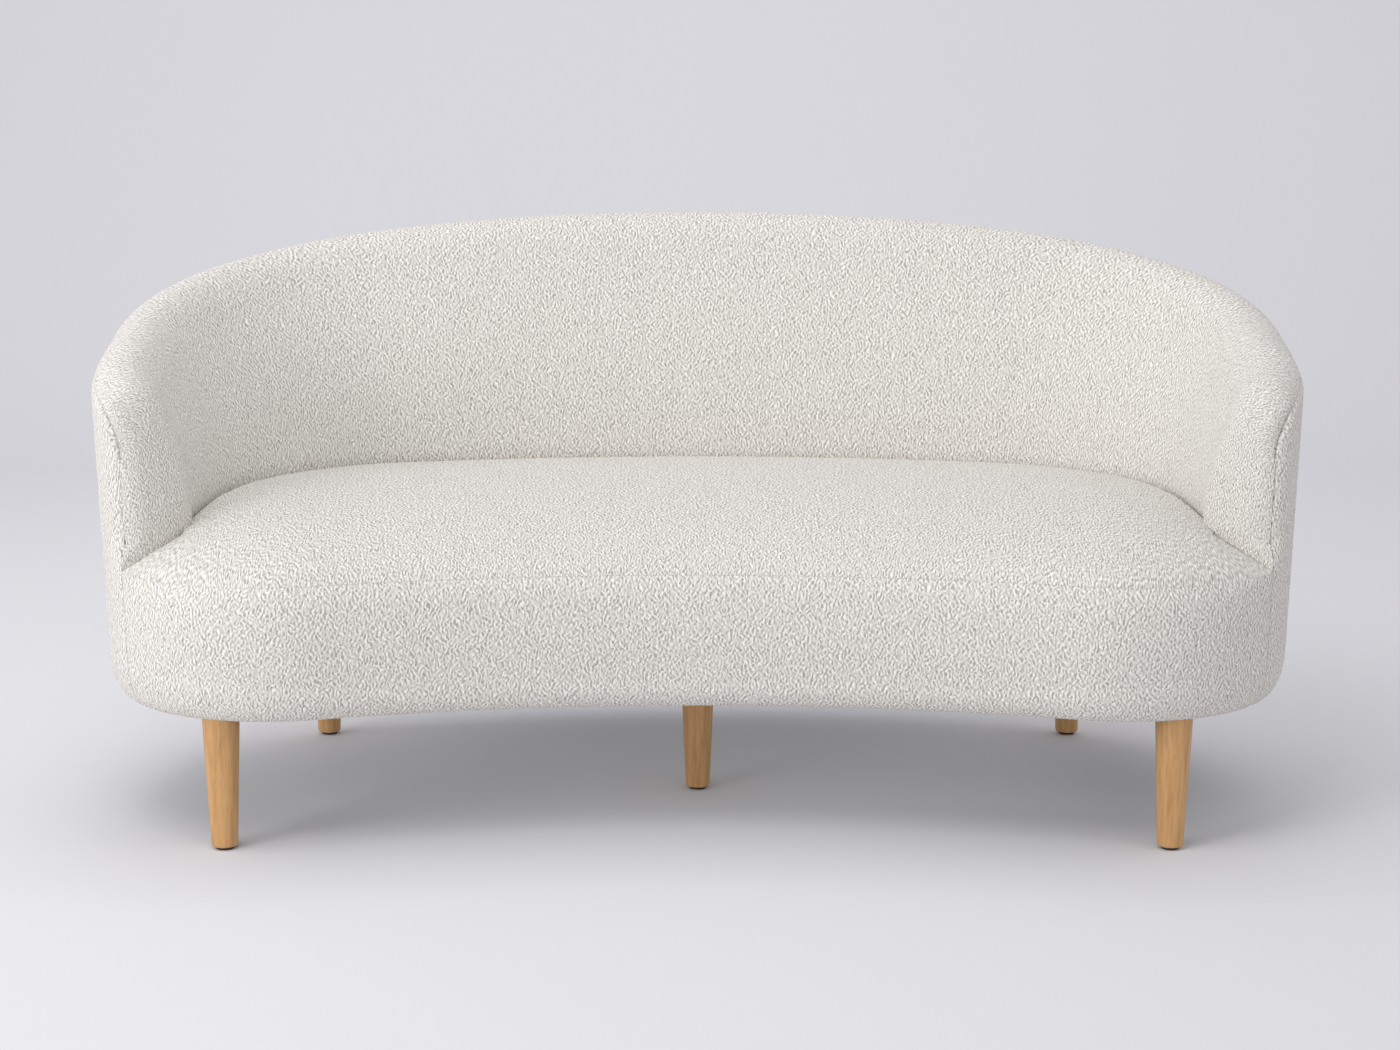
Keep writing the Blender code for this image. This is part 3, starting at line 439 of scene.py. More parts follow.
# the covers' rows: spacing and runs in metres, and counts; the nap is trimmed over a few rows at the seams
mesh = {"fine": 0.0024, "coarse": 0.0032, "noseRun": 0.160, "weld": 0.00002, "napEdge": 3}
coverRows = {"seamClear": 0.002, "roll": 0.133, "inside": 0.330, "soften": 0.020, "softRows": 40, "tuck": 6,
             "outsideRoll": 8, "outside": 0.500, "lowerEdge": 21, "behindEdge": 6, "behindWall": 9,
             "seatExtra": 0.04, "seatCloser": 1.12}
# the pattern's lengths: its start up the cloth, the shortest row, how much finer it is round the arms
clothPattern = {"start": 4.0, "shortest": 0.001, "finer": 0.3, "finerRun": 0.25}


def wallColumns(step):
    straight = np.linspace(0.0, wallEnd, int(wallEnd / step) + 1)
    turns = noseTurns(int(mesh["noseRun"] / step) + 1)[1:]
    forward, share = noseShape(turns)
    length = np.concatenate([straight, wallEnd + armNose * forward])
    share = np.concatenate([np.ones_like(straight), share])
    turn = np.concatenate([np.zeros_like(straight), turns])
    u = np.concatenate([length[::-1], -length[1:]])
    return u, np.concatenate([share[::-1], share[1:]]), np.concatenate([turn[::-1], turn[1:]])


def frontColumns(step):
    length = ends[-1] - armSeam
    half = np.linspace(armSeam + 2 * gap, ends[-1], int(length / step) + 1)
    return np.concatenate([half, -half[-2::-1]])


def steps(length, step):
    return max(2, int(round(length / step)))


def groove(distance, depth=seams["depth"]):
    return depth * np.exp(-(distance / seams["width"]) ** 2)


def softenRows(rows, first, last, spread):
    # ease the bend between two surfaces, over the rows from first to last
    rows = np.array(rows)
    reach = int(3 * spread)
    weights = np.exp(-0.5 * (np.arange(-reach, reach + 1) / spread) ** 2)
    weights /= weights.sum()
    eased = rows.copy()
    for i in range(first, last):
        picks = np.clip(np.arange(i - reach, i + reach + 1), 0, len(rows) - 1)
        share = min(1.0, (i - first) / (2 * spread), (last - 1 - i) / (2 * spread))
        eased[i] = rows[i] + share * (np.tensordot(weights, rows[picks], axes=1) - rows[i])
    return eased


def capFaces(column, faceCount, turned):
    # an end of the ring, closed with a strip of triangles between the face rows and the rows behind
    front, back, faces = 0, len(column) - 1, []
    while front < faceCount - 1 or back > faceCount:
        alongFront = np.linalg.norm(column[front + 1] - column[back]) if front < faceCount - 1 else np.inf
        alongBack = np.linalg.norm(column[front] - column[back - 1]) if back > faceCount else np.inf
        if alongFront <= alongBack:
            faces.append((front, front + 1, back))
            front += 1
        else:
            faces.append((front, back - 1, back))
            back -= 1
    return np.array([face[::-1] for face in faces] if turned else faces)


# each padded piece is a closed ring of rows: the cover's face in full detail, then a few behind the foam
def ringObject(name, face, behind):
    rows = np.concatenate([face, behind])
    count, columns = rows.shape[:2]
    index = np.arange(count * columns).reshape(count, columns)
    below = np.roll(index, -1, axis=0)
    quads = np.stack([index[:, :-1], below[:, :-1], below[:, 1:], index[:, 1:]], axis=-1).reshape(-1, 4)
    caps = [index[:, column][capFaces(rows[:, column], len(face), column == 0)]
            for column in (0, columns - 1)]
    spots = rows.reshape(-1, 3)
    item = addMesh(name, spots.tolist(), [], quads.tolist() + np.concatenate(caps).tolist())
    a, b, c = (spots[quads[:, k]] - spots.mean(axis=0) for k in range(3))
    if np.einsum("ij,ij->i", a, np.cross(b, c)).sum() < 0:
        item.data.flip_normals()
    return item


def napWeights(face, behindCount):
    # the nap is trimmed towards the seams and left off behind
    count, columns = face.shape[:2]
    rows = smoothStep((np.arange(count) - 1.0) / mesh["napEdge"])
    sides = np.minimum(np.arange(columns), np.arange(columns)[::-1])
    weights = rows[:, None] * smoothStep(sides / mesh["napEdge"])[None, :]
    return np.concatenate([weights, np.zeros((behindCount, columns))])


def weaveLengths(rows, faceCount, finer, noseColumns):
    # lengths along the cloth are those of the middle row, spread evenly along each row round the arm fronts
    count, columns = rows.shape[:2]
    finer = np.broadcast_to(finer, columns)
    own = np.linalg.norm(np.diff(rows, axis=1), axis=2)
    run = np.repeat(own[faceCount // 2][None], count, axis=0)
    for side in (slice(0, noseColumns), slice(columns - 1 - noseColumns, columns - 1)):
        length = np.maximum(own[:, side].sum(axis=1, keepdims=True), clothPattern["shortest"])
        run[:, side] = own[:, side] * run[:, side].sum(axis=1, keepdims=True) / length
    along = np.concatenate([np.zeros((count, 1)), np.cumsum(run * finer[1:], axis=1)], axis=1)
    along = along - along[:, columns // 2][:, None]
    rise = np.cumsum(np.linalg.norm(np.diff(rows, axis=0), axis=2), axis=0)
    up = np.concatenate([np.zeros((1, columns)), rise])
    up = clothPattern["start"] + (up[faceCount - 1] - up) * finer
    return np.stack([along, up, 0 * up], axis=-1)


def coverObject(name, face, behind, finer=1.0, noseColumns=0):
    # a padded piece with the nap's share and the weave's lengths on its points, and its doubles merged
    item = ringObject(name, face, behind)
    made = item.data
    share = napWeights(face, len(behind))
    weave = weaveLengths(np.concatenate([face, behind]), len(face), finer, noseColumns)
    for label, kind, key, values in (("napShare", "FLOAT", "value", share),
                                     ("weave", "FLOAT_VECTOR", "vector", weave)):
        made.attributes.new(label, kind, "POINT").data.foreach_set(key, values.astype(np.float32).ravel())
    cleaned = bmesh.new()
    cleaned.from_mesh(made)
    bmesh.ops.remove_doubles(cleaned, verts=cleaned.verts, dist=mesh["weld"])
    cleaned.to_mesh(made)
    cleaned.free()
    return item


# the inside's and the seat's covers are blown out a little by a cloth simulation on a coarse copy of them
swell = {"stride": 6, "ends": 66, "frames": 20, "cap": 0.005,
         "insideHeld": (4, 8), "seatHeld": (4, 6),
         "settings": {"vertex_group_mass": "held", "quality": 5, "mass": 0.3, "tension_stiffness": 15.0,
                      "compression_stiffness": 15.0, "shear_stiffness": 5.0, "bending_stiffness": 0.5,
                      "use_pressure": True, "uniform_pressure_force": 4.0}}


def spreadOver(values, picks, count):
    # values known at the picked places of the first axis, interpolated over all of them
    flat = values.reshape(len(values), -1)
    full = np.stack([np.interp(np.arange(count), picks, column) for column in flat.T], axis=-1)
    return full.reshape(count, *values.shape[1:])


def swellRows(name, face, behind, held):
    count, columns = face.shape[:2]
    rowPick = np.unique(np.linspace(0, count - 1, count // swell["stride"]).round().astype(int))
    columnPick = np.linspace(swell["ends"], columns - 1 - swell["ends"], columns // swell["stride"])
    columnPick = columnPick.round().astype(int)
    coarse = np.concatenate([face[rowPick][:, columnPick], behind[:, columnPick]])
    item = ringObject(name + "Cloth", coarse[:len(rowPick)], coarse[len(rowPick):])
    pinned = np.ones(coarse.shape[:2])
    pinned[:len(rowPick)] = ((rowPick < held[0]) | (rowPick >= count - held[1]))[:, None]
    pinned[:, :2] = pinned[:, -2:] = 1.0
    group = item.vertex_groups.new(name=swell["settings"]["vertex_group_mass"])
    group.add(np.nonzero(pinned.ravel() > 0)[0].tolist(), 1.0, "REPLACE")
    cloth = item.modifiers.new("cloth", "CLOTH")
    for key, value in swell["settings"].items():
        setattr(cloth.settings, key, value)
    cloth.settings.effector_weights.gravity = 0.0
    cloth.collision_settings.use_collision = False
    cloth.point_cache.frame_start, cloth.point_cache.frame_end = 1, swell["frames"]
    for number in range(1, swell["frames"] + 1):
        scene.frame_set(number)
    blown = item.evaluated_get(bpy.context.evaluated_depsgraph_get()).to_mesh()
    spots = np.empty(len(blown.vertices) * 3, np.float32)
    blown.vertices.foreach_get("co", spots)
    move = (spots.reshape(coarse.shape) - coarse)[:len(rowPick)]
    scene.frame_set(1)
    old = item.data
    bpy.data.objects.remove(item)
    bpy.data.meshes.remove(old)
    longest = float(np.linalg.norm(move, axis=-1).max())
    move = move * min(1.0, swell["cap"] / max(longest, 1e-9))
    print("cloth", name, coarse.shape[:2], "swelled by", round(longest * 1000, 1), "mm at most, kept to",
          swell["cap"] * 1000, "mm")
    byRow = spreadOver(move, rowPick, count)
    return face + spreadOver(byRow.swapaxes(0, 1), columnPick, columns).swapaxes(0, 1)


def insidePiece():
    u, share, turn = wallColumns(mesh["fine"])
    middle = wallAt(u)[0] - rollHeight
    crease = creaseHeight(u, share)
    seamTurn = sofa["seamTurn"] + coverRows["seamClear"]
    edge = rollPoint(u, share, seamTurn, seams["depth"] + seams["turnIn"] * share)
    rows = [placeRounded(u, *edge, False)]
    for t in np.linspace(seamTurn, math.pi, steps(coverRows["roll"], mesh["fine"])):
        spot = rollPoint(u, share, t, groove((t - seamTurn) * rollHeight))
        rows.append(placeRounded(u, *spot, False))
    softFirst, softLast = len(rows) // 2, len(rows) + coverRows["softRows"]
    for f in np.linspace(0.0, 1.0, steps(coverRows["inside"], mesh["fine"]))[1:]:
        z = middle + (crease - middle) * f
        fallen = noseFall(u, share, z)
        d = insideFace(u, share, z, crease) + outsideAt(u, fallen) - outsideAt(u, z)
        rows.append(placeRounded(u, d, fallen, False))
    rows = list(softenRows(rows, softFirst, softLast, coverRows["soften"] / mesh["fine"]))
    for drop in np.linspace(0.0, sofa["tuck"], coverRows["tuck"])[1:]:
        z = crease - drop * share
        rows.append(placeRounded(u, insideFace(u, share, z, crease), z, False))
    # behind, the foam follows the frame, and stops where the arm front starts
    inset = cover + gap
    behind = [place(u, insideFace(u, share, deckZ, crease, inset), deckZ)]
    held = np.where(turn > 0, np.sign(u) * (wallEnd + gap), u)
    core = np.where(turn > 0, np.sign(u) * wallEnd, u)
    creaseCore = creaseHeight(core, 1.0)
    topCore, rollCore, lowCore, arm = wallAt(core)
    middleCore = topCore - rollHeight
    padTop = topCore - sofa["topPad"] + inset
    wallFoam = sofa["backFoam"] + (sofa["armFoam"] - sofa["backFoam"]) * arm
    for height, across in ((deckZ, 1.0), (creaseCore, 1.0), (middleCore, 1.0), (padTop, 1.0),
                           (padTop, 0.0)):
        f = (height - middleCore) / (creaseCore - middleCore)
        foam = sofa["topFoam"] + (wallFoam - sofa["topFoam"]) * np.maximum(0.0, f)
        face = (outsideAt(core, middleCore) - rollCore) * (1.0 - f) - lowCore * f
        outer = outsideAt(core, height) - inset - sofa["pad"]
        inner = face + inset + foam
        behind.append(place(held, outer + (inner - outer) * across * share, height))
    behind = np.array(behind)
    face = swellRows("insideBack", np.array(rows), behind, swell["insideHeld"])
    run = clothPattern["finerRun"]
    finer = 1.0 + clothPattern["finer"] * smoothStep((np.abs(u) - wallEnd + run) / run)
    return coverObject("insideBack", face, behind, finer, int((turn > 0).sum() // 2))


def lowerRows(u, dip):
    # the rounded lower edge, and the rows behind its cloth from the underside up
    edgeUp = lowerEdge(u)
    start = underZ + edgeUp
    side = outsideAt(u, start)
    turns = np.linspace(0.0, math.pi / 2, coverRows["lowerEdge"])[1:]
    rows, behind = [], []
    for t in turns:
        d = side - sofa["edgeIn"] * (1.0 - math.cos(t)) - dip * math.cos(t)
        rows.append(place(u, d, start - (edgeUp - dip) * math.sin(t)))
    for t in turns[::-coverRows["behindEdge"]]:
        d = side - sofa["edgeIn"] + (sofa["edgeIn"] - sofa["underCloth"]) * math.cos(t)
        behind.append(place(u, d, start - (edgeUp - sofa["underCloth"]) * math.sin(t)))
    return rows, behind


def outsidePiece():
    u, share, turn = wallColumns(mesh["coarse"])
    top = wallAt(u)[0]
    middle = top - rollHeight
    edgeStart = underZ + lowerEdge(u)
    dip = groove(armSeam - np.abs(u))
    seamTurn = sofa["seamTurn"] - coverRows["seamClear"]
    d, z = rollPoint(u, share, seamTurn, seams["depth"] + seams["turnIn"] * share)
    rows = [placeRounded(u, d - dip * (1.0 - share), z, True)]
    for t in np.linspace(seamTurn, 0.0, coverRows["outsideRoll"])[:-1]:
        d, z = rollPoint(u, share, t, groove((seamTurn - t) * rollHeight))
        rows.append(placeRounded(u, d - dip * (1.0 - share), z, True))
    for f in np.linspace(0.0, 1.0, steps(coverRows["outside"], mesh["coarse"])):
        z = noseFall(u, share, middle + (edgeStart - middle) * f)
        rows.append(placeRounded(u, outsideAt(u, z) - dip, z, True))
    underRows, behind = lowerRows(u, dip)
    depth = np.where(turn > 0, cover + seams["depth"], cover + gap + sofa["pad"])
    wall = np.linspace(0.0, 1.0, coverRows["behindWall"])[1:]
    heights = [edgeStart + gap, seamZ]
    heights += [seamZ + (middle - seamZ) * f for f in wall]
    for z in heights + [top - sofa["topPad"] - gap]:
        z = np.where(turn > 0, noseFall(u, share, np.minimum(z, middle)), z)
        behind.append(placeRounded(u, outsideAt(u, z), z, True, depth))
    return coverObject("outsideBack", np.array(rows + underRows), np.array(behind))


def frontPiece():
    u = frontColumns(mesh["fine"])
    fromSeam = np.abs(u) - armSeam
    edgeStart = underZ + lowerEdge(u)
    topEdge = seamZ - seams["open"]
    height = topEdge - edgeStart
    dip = groove(fromSeam)
    bulge = smoothStep(fromSeam / ((ends[3] - armSeam) / 2))
    soft = smoothStep(fromSeam / bend["fade"])
    rim = bend["inward"] * soft + np.maximum(seams["frontDepth"], dip) + seams["lap"]
    rows = [place(u, outsideAt(u, topEdge) - rim, topEdge - bend["down"] * soft - seams["lap"])]
    for f in np.linspace(0.0, 1.0, steps(height.max(), mesh["fine"])):
        z = topEdge - height * f
        near = soft * np.maximum(0.0, 1.0 - height * f / bend["onFront"]) ** 2
        depth = np.maximum(groove(height * f, seams["frontDepth"]), dip)
        rise = np.sin(math.pi * np.clip((z - edgeStart) / (seamZ - edgeStart), 0.0, 1.0))
        d = outsideAt(u, z) + sofa["borderBelly"] * rise * bulge - depth - bend["inward"] * near
        rows.append(place(u, d, z - bend["down"] * near))
    underRows, behind = lowerRows(u, dip)
    padIn, lipIn = cover + gap + sofa["pad"], rim + seams["lap"]
    for z, depth in ((edgeStart + gap, padIn), (deckZ - gap, padIn),
                     (deckZ, lipIn), (topEdge - seams["lip"], lipIn)):
        behind.append(place(u, outsideAt(u, z) - depth, z))
    return coverObject("frontBorder", np.array(rows + underRows), np.array(behind))


def seatPiece():
    # columns of the crease, and the front seam's columns spaced like them
    u, share = wallColumns(mesh["fine"])[:2]
    crease = creaseHeight(u, share)
    clear = -2 * gap
    back = place(u, insideFace(u, share, crease, crease, clear), crease)
    run = np.concatenate([[0.0], np.cumsum(np.hypot(*np.diff(back[:, :2], axis=0).T))])
    run = (run / run[-1] + np.linspace(0.0, 1.0, len(run))) / 2
    start = armSeam - clear
    length = ends[-1] - start
    frontU = np.where(run <= 0.5, start + 2.0 * run * length, -(start + 2.0 * (1.0 - run) * length))
    frontX, frontY, outX, outY = planAt(frontU)
    longest = sofa["bodyDepth"] - sofa["backThickness"]
    soft = smoothStep((np.abs(frontU) - armSeam) / bend["fade"])
    rim = bend["inward"] * soft + seams["frontDepth"] + seams["lap"]
    rows = [np.stack([frontX - rim * outX, frontY - rim * outY,
                      seamZ - bend["down"] * soft - seams["lap"] * seams["seatLap"]], axis=-1)]
    span = np.hypot(back[:, 0] - frontX, back[:, 1] - frontY)
    count = steps(longest + coverRows["seatExtra"], mesh["fine"])
    for s in np.linspace(0.0, 1.0, count) ** coverRows["seatCloser"]:
        x, y = frontX + (back[:, 0] - frontX) * s, frontY + (back[:, 1] - frontY) * s
        distance = fromFront(x, y) if s > 0 else 0 * x
        crown = sofa["seatCrown"] * math.sin(math.pi * s) * np.minimum(1.0, span / longest)
        drop = 1.0 - quarterRound((1.0 - s) * span / (sofa["creaseRoll"] + tuckIn["armRoll"] * nearArm(u)))
        z = seatHeight(distance) + crown - creaseFall(u, distance) * drop
        near = soft * np.clip(1.0 - distance / bend["onSeat"], 0.0, 1.0) ** 2
        inward = groove(distance, seams["frontDepth"]) + bend["inward"] * near
        rows.append(np.stack([x - inward * outX, y - inward * outY, z - bend["down"] * near], axis=-1))
    for fall in np.linspace(0.0, sofa["tuck"], coverRows["tuck"])[1:]:
        z = crease - fall * share
        rows.append(place(u, insideFace(u, share, z, crease, clear), z))
    inset = seams["seatIn"]
    held = np.sign(frontU) * np.maximum(np.abs(frontU), start + inset)
    foot = place(u, insideFace(u, share, deckZ, crease, -inset), deckZ)
    toe = place(held, outsideAt(frontU, deckZ) - inset, deckZ)
    lip = place(held, -inset, seamZ - bend["down"] - seams["lap"])
    behind = np.array([foot, (foot + toe) / 2, toe, lip])
    return coverObject("seat", swellRows("seat", np.array(rows), behind, swell["seatHeld"]), behind)


# looped nap along and up the cloth: wandering bands of yarn, coarse in the mesh and fine in the material,
# whose colour paints shade into the pits between the loops
tufts = {"Tuft Size": 0.0150, "Bands": 1.5, "Upright Stretch": 0.70, "Wander": 0.8, "Lean": 0.3,
         "Nap Height": 0.0016}
# the darker of the two loop colours is painted shade for the hollows between the loops; the paler one is the
# yarn on the crests
loops = {"size": 0.0072, "bands": 1.5, "upright": 0.72, "wander": 0.8, "lean": 0.3, "height": 0.0020,
         "shadedPit": (0.440, 0.420, 0.378), "crest": (0.962, 0.936, 0.880)}


def yarnPattern(tree, vector, scale, bands, wander, lean):
    scaled = vectors(tree, "MULTIPLY", vector, scale)
    drift = addNode(tree, "ShaderNodeTexNoise", {"Vector": scaled, "Scale": 1.1, "Detail": 1.0})
    centred = vectors(tree, "SUBTRACT", drift.outputs["Color"], (0.5, 0.5, 0.5))
    moved = vectors(tree, "ADD", scaled, vectors(tree, "SCALE", centred, wander))
    values = {"Vector": moved, "Scale": 1.0, "Frequency": bands, "Anisotropy": lean, "Orientation 2D": 0.0}
    yarn = addNode(tree, "ShaderNodeTexGabor", values, gabor_type="2D")
    fuzz = addNoise(tree, scaled, {"Scale": 4.0, "Detail": 1.0})
    return weighed(tree, yarn.outputs[0], fuzz, 0.8)


def storedValue(tree, label, kind):
    return addNode(tree, "GeometryNodeInputNamedAttribute", {"Name": label}, data_type=kind).outputs[0]


def makeNapTree():
    tree, given = newTree("loopedNap", tufts)
    perMetre = maths(tree, "DIVIDE", 1.0, given["Tuft Size"])
    perUpright = maths(tree, "MULTIPLY", perMetre, given["Upright Stretch"])
    scale = addNode(tree, "ShaderNodeCombineXYZ", {0: perMetre, 1: perUpright}).outputs[0]
    weave = storedValue(tree, "weave", "FLOAT_VECTOR")
    share = storedValue(tree, "napShare", "FLOAT")
    height = yarnPattern(tree, weave, scale, given["Bands"], given["Wander"], given["Lean"])
    lift = maths(tree, "MULTIPLY", maths(tree, "SUBTRACT", height, 0.5), given["Nap Height"])
    normal = tree.nodes.new("GeometryNodeInputNormal").outputs[0]
    offset = vectors(tree, "SCALE", normal, maths(tree, "MULTIPLY", lift, share))
    # the tuft height is kept for the material, which paints shade into the lower tufts
    values = {"Geometry": given["Geometry"], "Name": "nap", "Value": height}
    keep = addNode(tree, "GeometryNodeStoreNamedAttribute", values, data_type="FLOAT", domain="POINT")
    move = addNode(tree, "GeometryNodeSetPosition", {"Geometry": keep.outputs[0], "Offset": offset})
    smooth = addNode(tree, "GeometryNodeSetShadeSmooth", {"Geometry": move.outputs[0]})
    return endTree(tree, smooth.outputs[0], given["Material"])


def makeBoucle():
    made, tree = newMaterial("ivoryBoucle", 0.95)
    weave = addNode(tree, "ShaderNodeAttribute", attribute_name="weave").outputs["Vector"]
    tuft = addNode(tree, "ShaderNodeAttribute", attribute_name="nap").outputs["Fac"]
    scale = (1.0 / loops["size"], 1.0 / loops["size"] * loops["upright"], 0.0)
    height = yarnPattern(tree, weave, scale, loops["bands"], loops["wander"], loops["lean"])
    # painted shade: the colour runs from the pale crests down to a much darker tone in the pits, and a
    # little darker in the lower tufts of the mesh
    colour = addRamp(tree, weighed(tree, height, tuft, 0.85), [(0.37, loops["shadedPit"]), (0.63, loops["crest"])])
    return finished(made, {"Base Color": colour, "Normal": addBump(tree, height, 1.0, loops["height"]),
                           "Sheen Weight": 0.15, "Sheen Roughness": 0.6, "Specular IOR Level": 0.10})


boucle = makeBoucle()
napTree = makeNapTree()
upholstery = {"insideBack": (insidePiece, ("inside_cover", "inside_foam"), 0.9),
              "outsideBack": (outsidePiece, ("outside_cover", "outside_pad"), 0.9),
              "frontBorder": (frontPiece, ("front_cover", "front_pad"), 0.9),
              "seat": (seatPiece, ("seat_cover", "seat_foam"), 0.85)}
for label, (makePiece, stoodFor, fill) in upholstery.items():
    piece = makePiece()
    applyTree(piece, napTree, {"Material": boucle})
    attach(piece, "root")
    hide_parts(*stoodFor)
    print("upholstery", label, len(piece.data.polygons), "faces")


# legs and glides, turned at full roundness
turnery = {"sides": 96, "footRound": 0.0030, "footRadius": 0.0177, "topRadius": 0.0252, "footRows": 9,
           "taperRows": 25, "glideRound": 0.0010, "glideRows": 6, "glideGap": 0.0003,
           "sharp": math.radians(50)}


def turnedObject(name, profile, spot, material):
    x, y = spot
    sides = turnery["sides"]
    angles = np.linspace(0.0, 2 * math.pi, sides, endpoint=False)
    vertices = [(x, y, profile[0][1])]
    for radius, z in profile[1:-1]:
        vertices += [(x + radius * math.cos(a), y + radius * math.sin(a), z) for a in angles]
    vertices.append((x, y, profile[-1][1]))
    last = len(vertices) - 1 - sides
    faces = []
    for k in range(sides):
        n = (k + 1) % sides
        faces.append((0, 1 + n, 1 + k))
        for a in range(1, last, sides):
            faces.append((a + k, a + n, a + sides + n, a + sides + k))
        faces.append((last + k, last + n, len(vertices) - 1))
    return smoothObject(name, vertices, faces, material, turnery["sharp"])


def roundedFoot(radius, edge, z, count):
    # profile from the middle of the underside round its edge
    return [(0.0, z)] + [(radius - edge * (1 - math.sin(a)), z + edge * (1 - math.cos(a)))
                         for a in np.linspace(0.0, math.pi / 2, count)]


def makeOak():
    made, tree = newMaterial("clearOak", 0.42)
    wood = mottled(tree, {"Scale": 1.0, "Detail": 5.0, "Roughness": 0.62, "Distortion": 0.4},
                   [(0.30, (0.47, 0.245, 0.086)), (0.52, (0.605, 0.335, 0.128)),
                    (0.75, (0.685, 0.398, 0.165))], (160.0, 160.0, 9.0))[1]
    pores, dark = mottled(tree, {"Scale": 1.0, "Detail": 2.0},
                          [(0.32, (0.80, 0.76, 0.70)), (0.44, (1.0, 1.0, 1.0))], (700.0, 700.0, 26.0))
    return finished(made, {"Base Color": multiplied(tree, 0.7, wood, dark),
                           "Normal": addBump(tree, pores, 0.12, 0.0004),
                           "Coat Weight": 0.15, "Coat Roughness": 0.35})


def makeGlide():
    made, tree = newMaterial("darkGlide", 0.6)
    scuffed = mottled(tree, {"Scale": 300.0, "Detail": 4.0},
                      [(0.3, (0.018, 0.017, 0.016)), (0.8, (0.05, 0.047, 0.043))])[1]
    return finished(made, {"Base Color": scuffed})


oak = makeOak()
glideDark = makeGlide()
legPlaces = ("front_right", "front_left", "rear_right", "rear_left", "centre")
for which in legPlaces:
    spot = planMiddle("leg_" + which)
    low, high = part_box("leg_" + which)
    foot, taperFoot = low.z, low.z + turnery["footRound"]
    profile = roundedFoot(turnery["footRadius"], turnery["footRound"], foot, turnery["footRows"])
    for t in np.linspace(0.0, 1.0, turnery["taperRows"])[1:]:
        radius = turnery["footRadius"] + (turnery["topRadius"] - turnery["footRadius"]) * t
        profile.append((radius, taperFoot + (high.z - taperFoot) * t))
    leg = turnedObject("turnedLeg_" + which, profile + [(0.0, high.z)], spot, oak)
    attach(leg, "root")
    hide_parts("leg_" + which)
    low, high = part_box("glide_" + which)
    radius, top = (high.x - low.x) / 2, foot - turnery["glideGap"]
    disc = roundedFoot(radius, turnery["glideRound"], low.z, turnery["glideRows"])
    glide = turnedObject("floorGlide_" + which, disc + [(radius, top), (0.0, top)], spot, glideDark)
    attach(glide, "root")
    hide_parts("glide_" + which)
print("legs and glides turned")


# black dust cover: flat on the ring and the legs, a little slack between, puckered near its edge
dustCover = {"outline": 460, "step": 0.016, "rowShare": 0.866, "edgeClear": 0.6, "holeClear": 0.5,
             "hole": 0.0056, "holeSides": 16, "sag": 0.0022, "flatEdge": 0.055, "flatLeg": 0.032,
             "ease": 0.12, "sharp": math.radians(60)}
puckers = {"depth": 0.0005, "count": 37.0, "sway": 3.0, "swayCount": 5.0, "from": 0.03, "rise": 0.03,
           "fadeFrom": 0.07, "fade": 0.10, "fromLeg": 0.05}
# it is held by a row of staples, set in from its edge
stapleSizes = {"Pitch": 0.042, "Crown Length": 0.0100, "Wire Radius": 0.00055}
stapleRow = {"inset": 0.011, "clear": 0.00005, "askew": 0.12, "wireSides": 8, "seed": 7}


def coverOutline(inset, z):
    # the dust cover's edge, or a line inside it
    around = np.linspace(-ends[-1], ends[-1], dustCover["outline"])[:-1]
    return place(around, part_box("dust_cover")[1].x - sofa["bodyWidth"] / 2 - inset, z)


def insideOutline(outline, points):
    # whether each point lies inside, by the sides that a line to the right of it crosses
    x, y = points[:, :1], points[:, 1:]
    ahead = np.roll(outline, -1, axis=0)
    crosses = (outline[:, 1] > y) != (ahead[:, 1] > y)
    run, rise = (ahead - outline).T
    reach = outline[:, 0] + (y - outline[:, 1]) * run / np.where(crosses, rise, 1.0)
    return (crosses & (x < reach)).sum(axis=1) % 2 == 1


def nearest(points, others):
    return np.min([np.hypot(points[:, 0] - x, points[:, 1] - y) for x, y in others], axis=0)


def makeDustCloth():
    made, tree = newMaterial("blackDustCloth", 0.9)
    fibre, colour = mottled(tree, {"Scale": 900.0, "Detail": 3.0, "Distortion": 1.5},
                            [(0.25, (0.010, 0.010, 0.011)), (0.55, (0.030, 0.030, 0.031)),
                             (0.80, (0.062, 0.061, 0.060))])
    values = {"Vector": objectSpot(tree), "Scale": 420.0, "Randomness": 0.15}
    dots = addNode(tree, "ShaderNodeTexVoronoi", values).outputs["Distance"]
    press = addBump(tree, maths(tree, "ADD", fibre, dots), 0.6, 0.0003)
    return finished(made, {"Base Color": colour, "Normal": press, "Specular IOR Level": 0.2})


def makeZinc():
    made, tree = newMaterial("zincSteel", 0.38, 1.0)
    spangle, colour = mottled(tree, {"Scale": 260.0, "Detail": 3.0},
                              [(0.3, (0.46, 0.46, 0.45)), (0.7, (0.66, 0.66, 0.65))])
    return finished(made, {"Base Color": colour, "Roughness": maths(tree, "MULTIPLY", spangle, 0.75)})


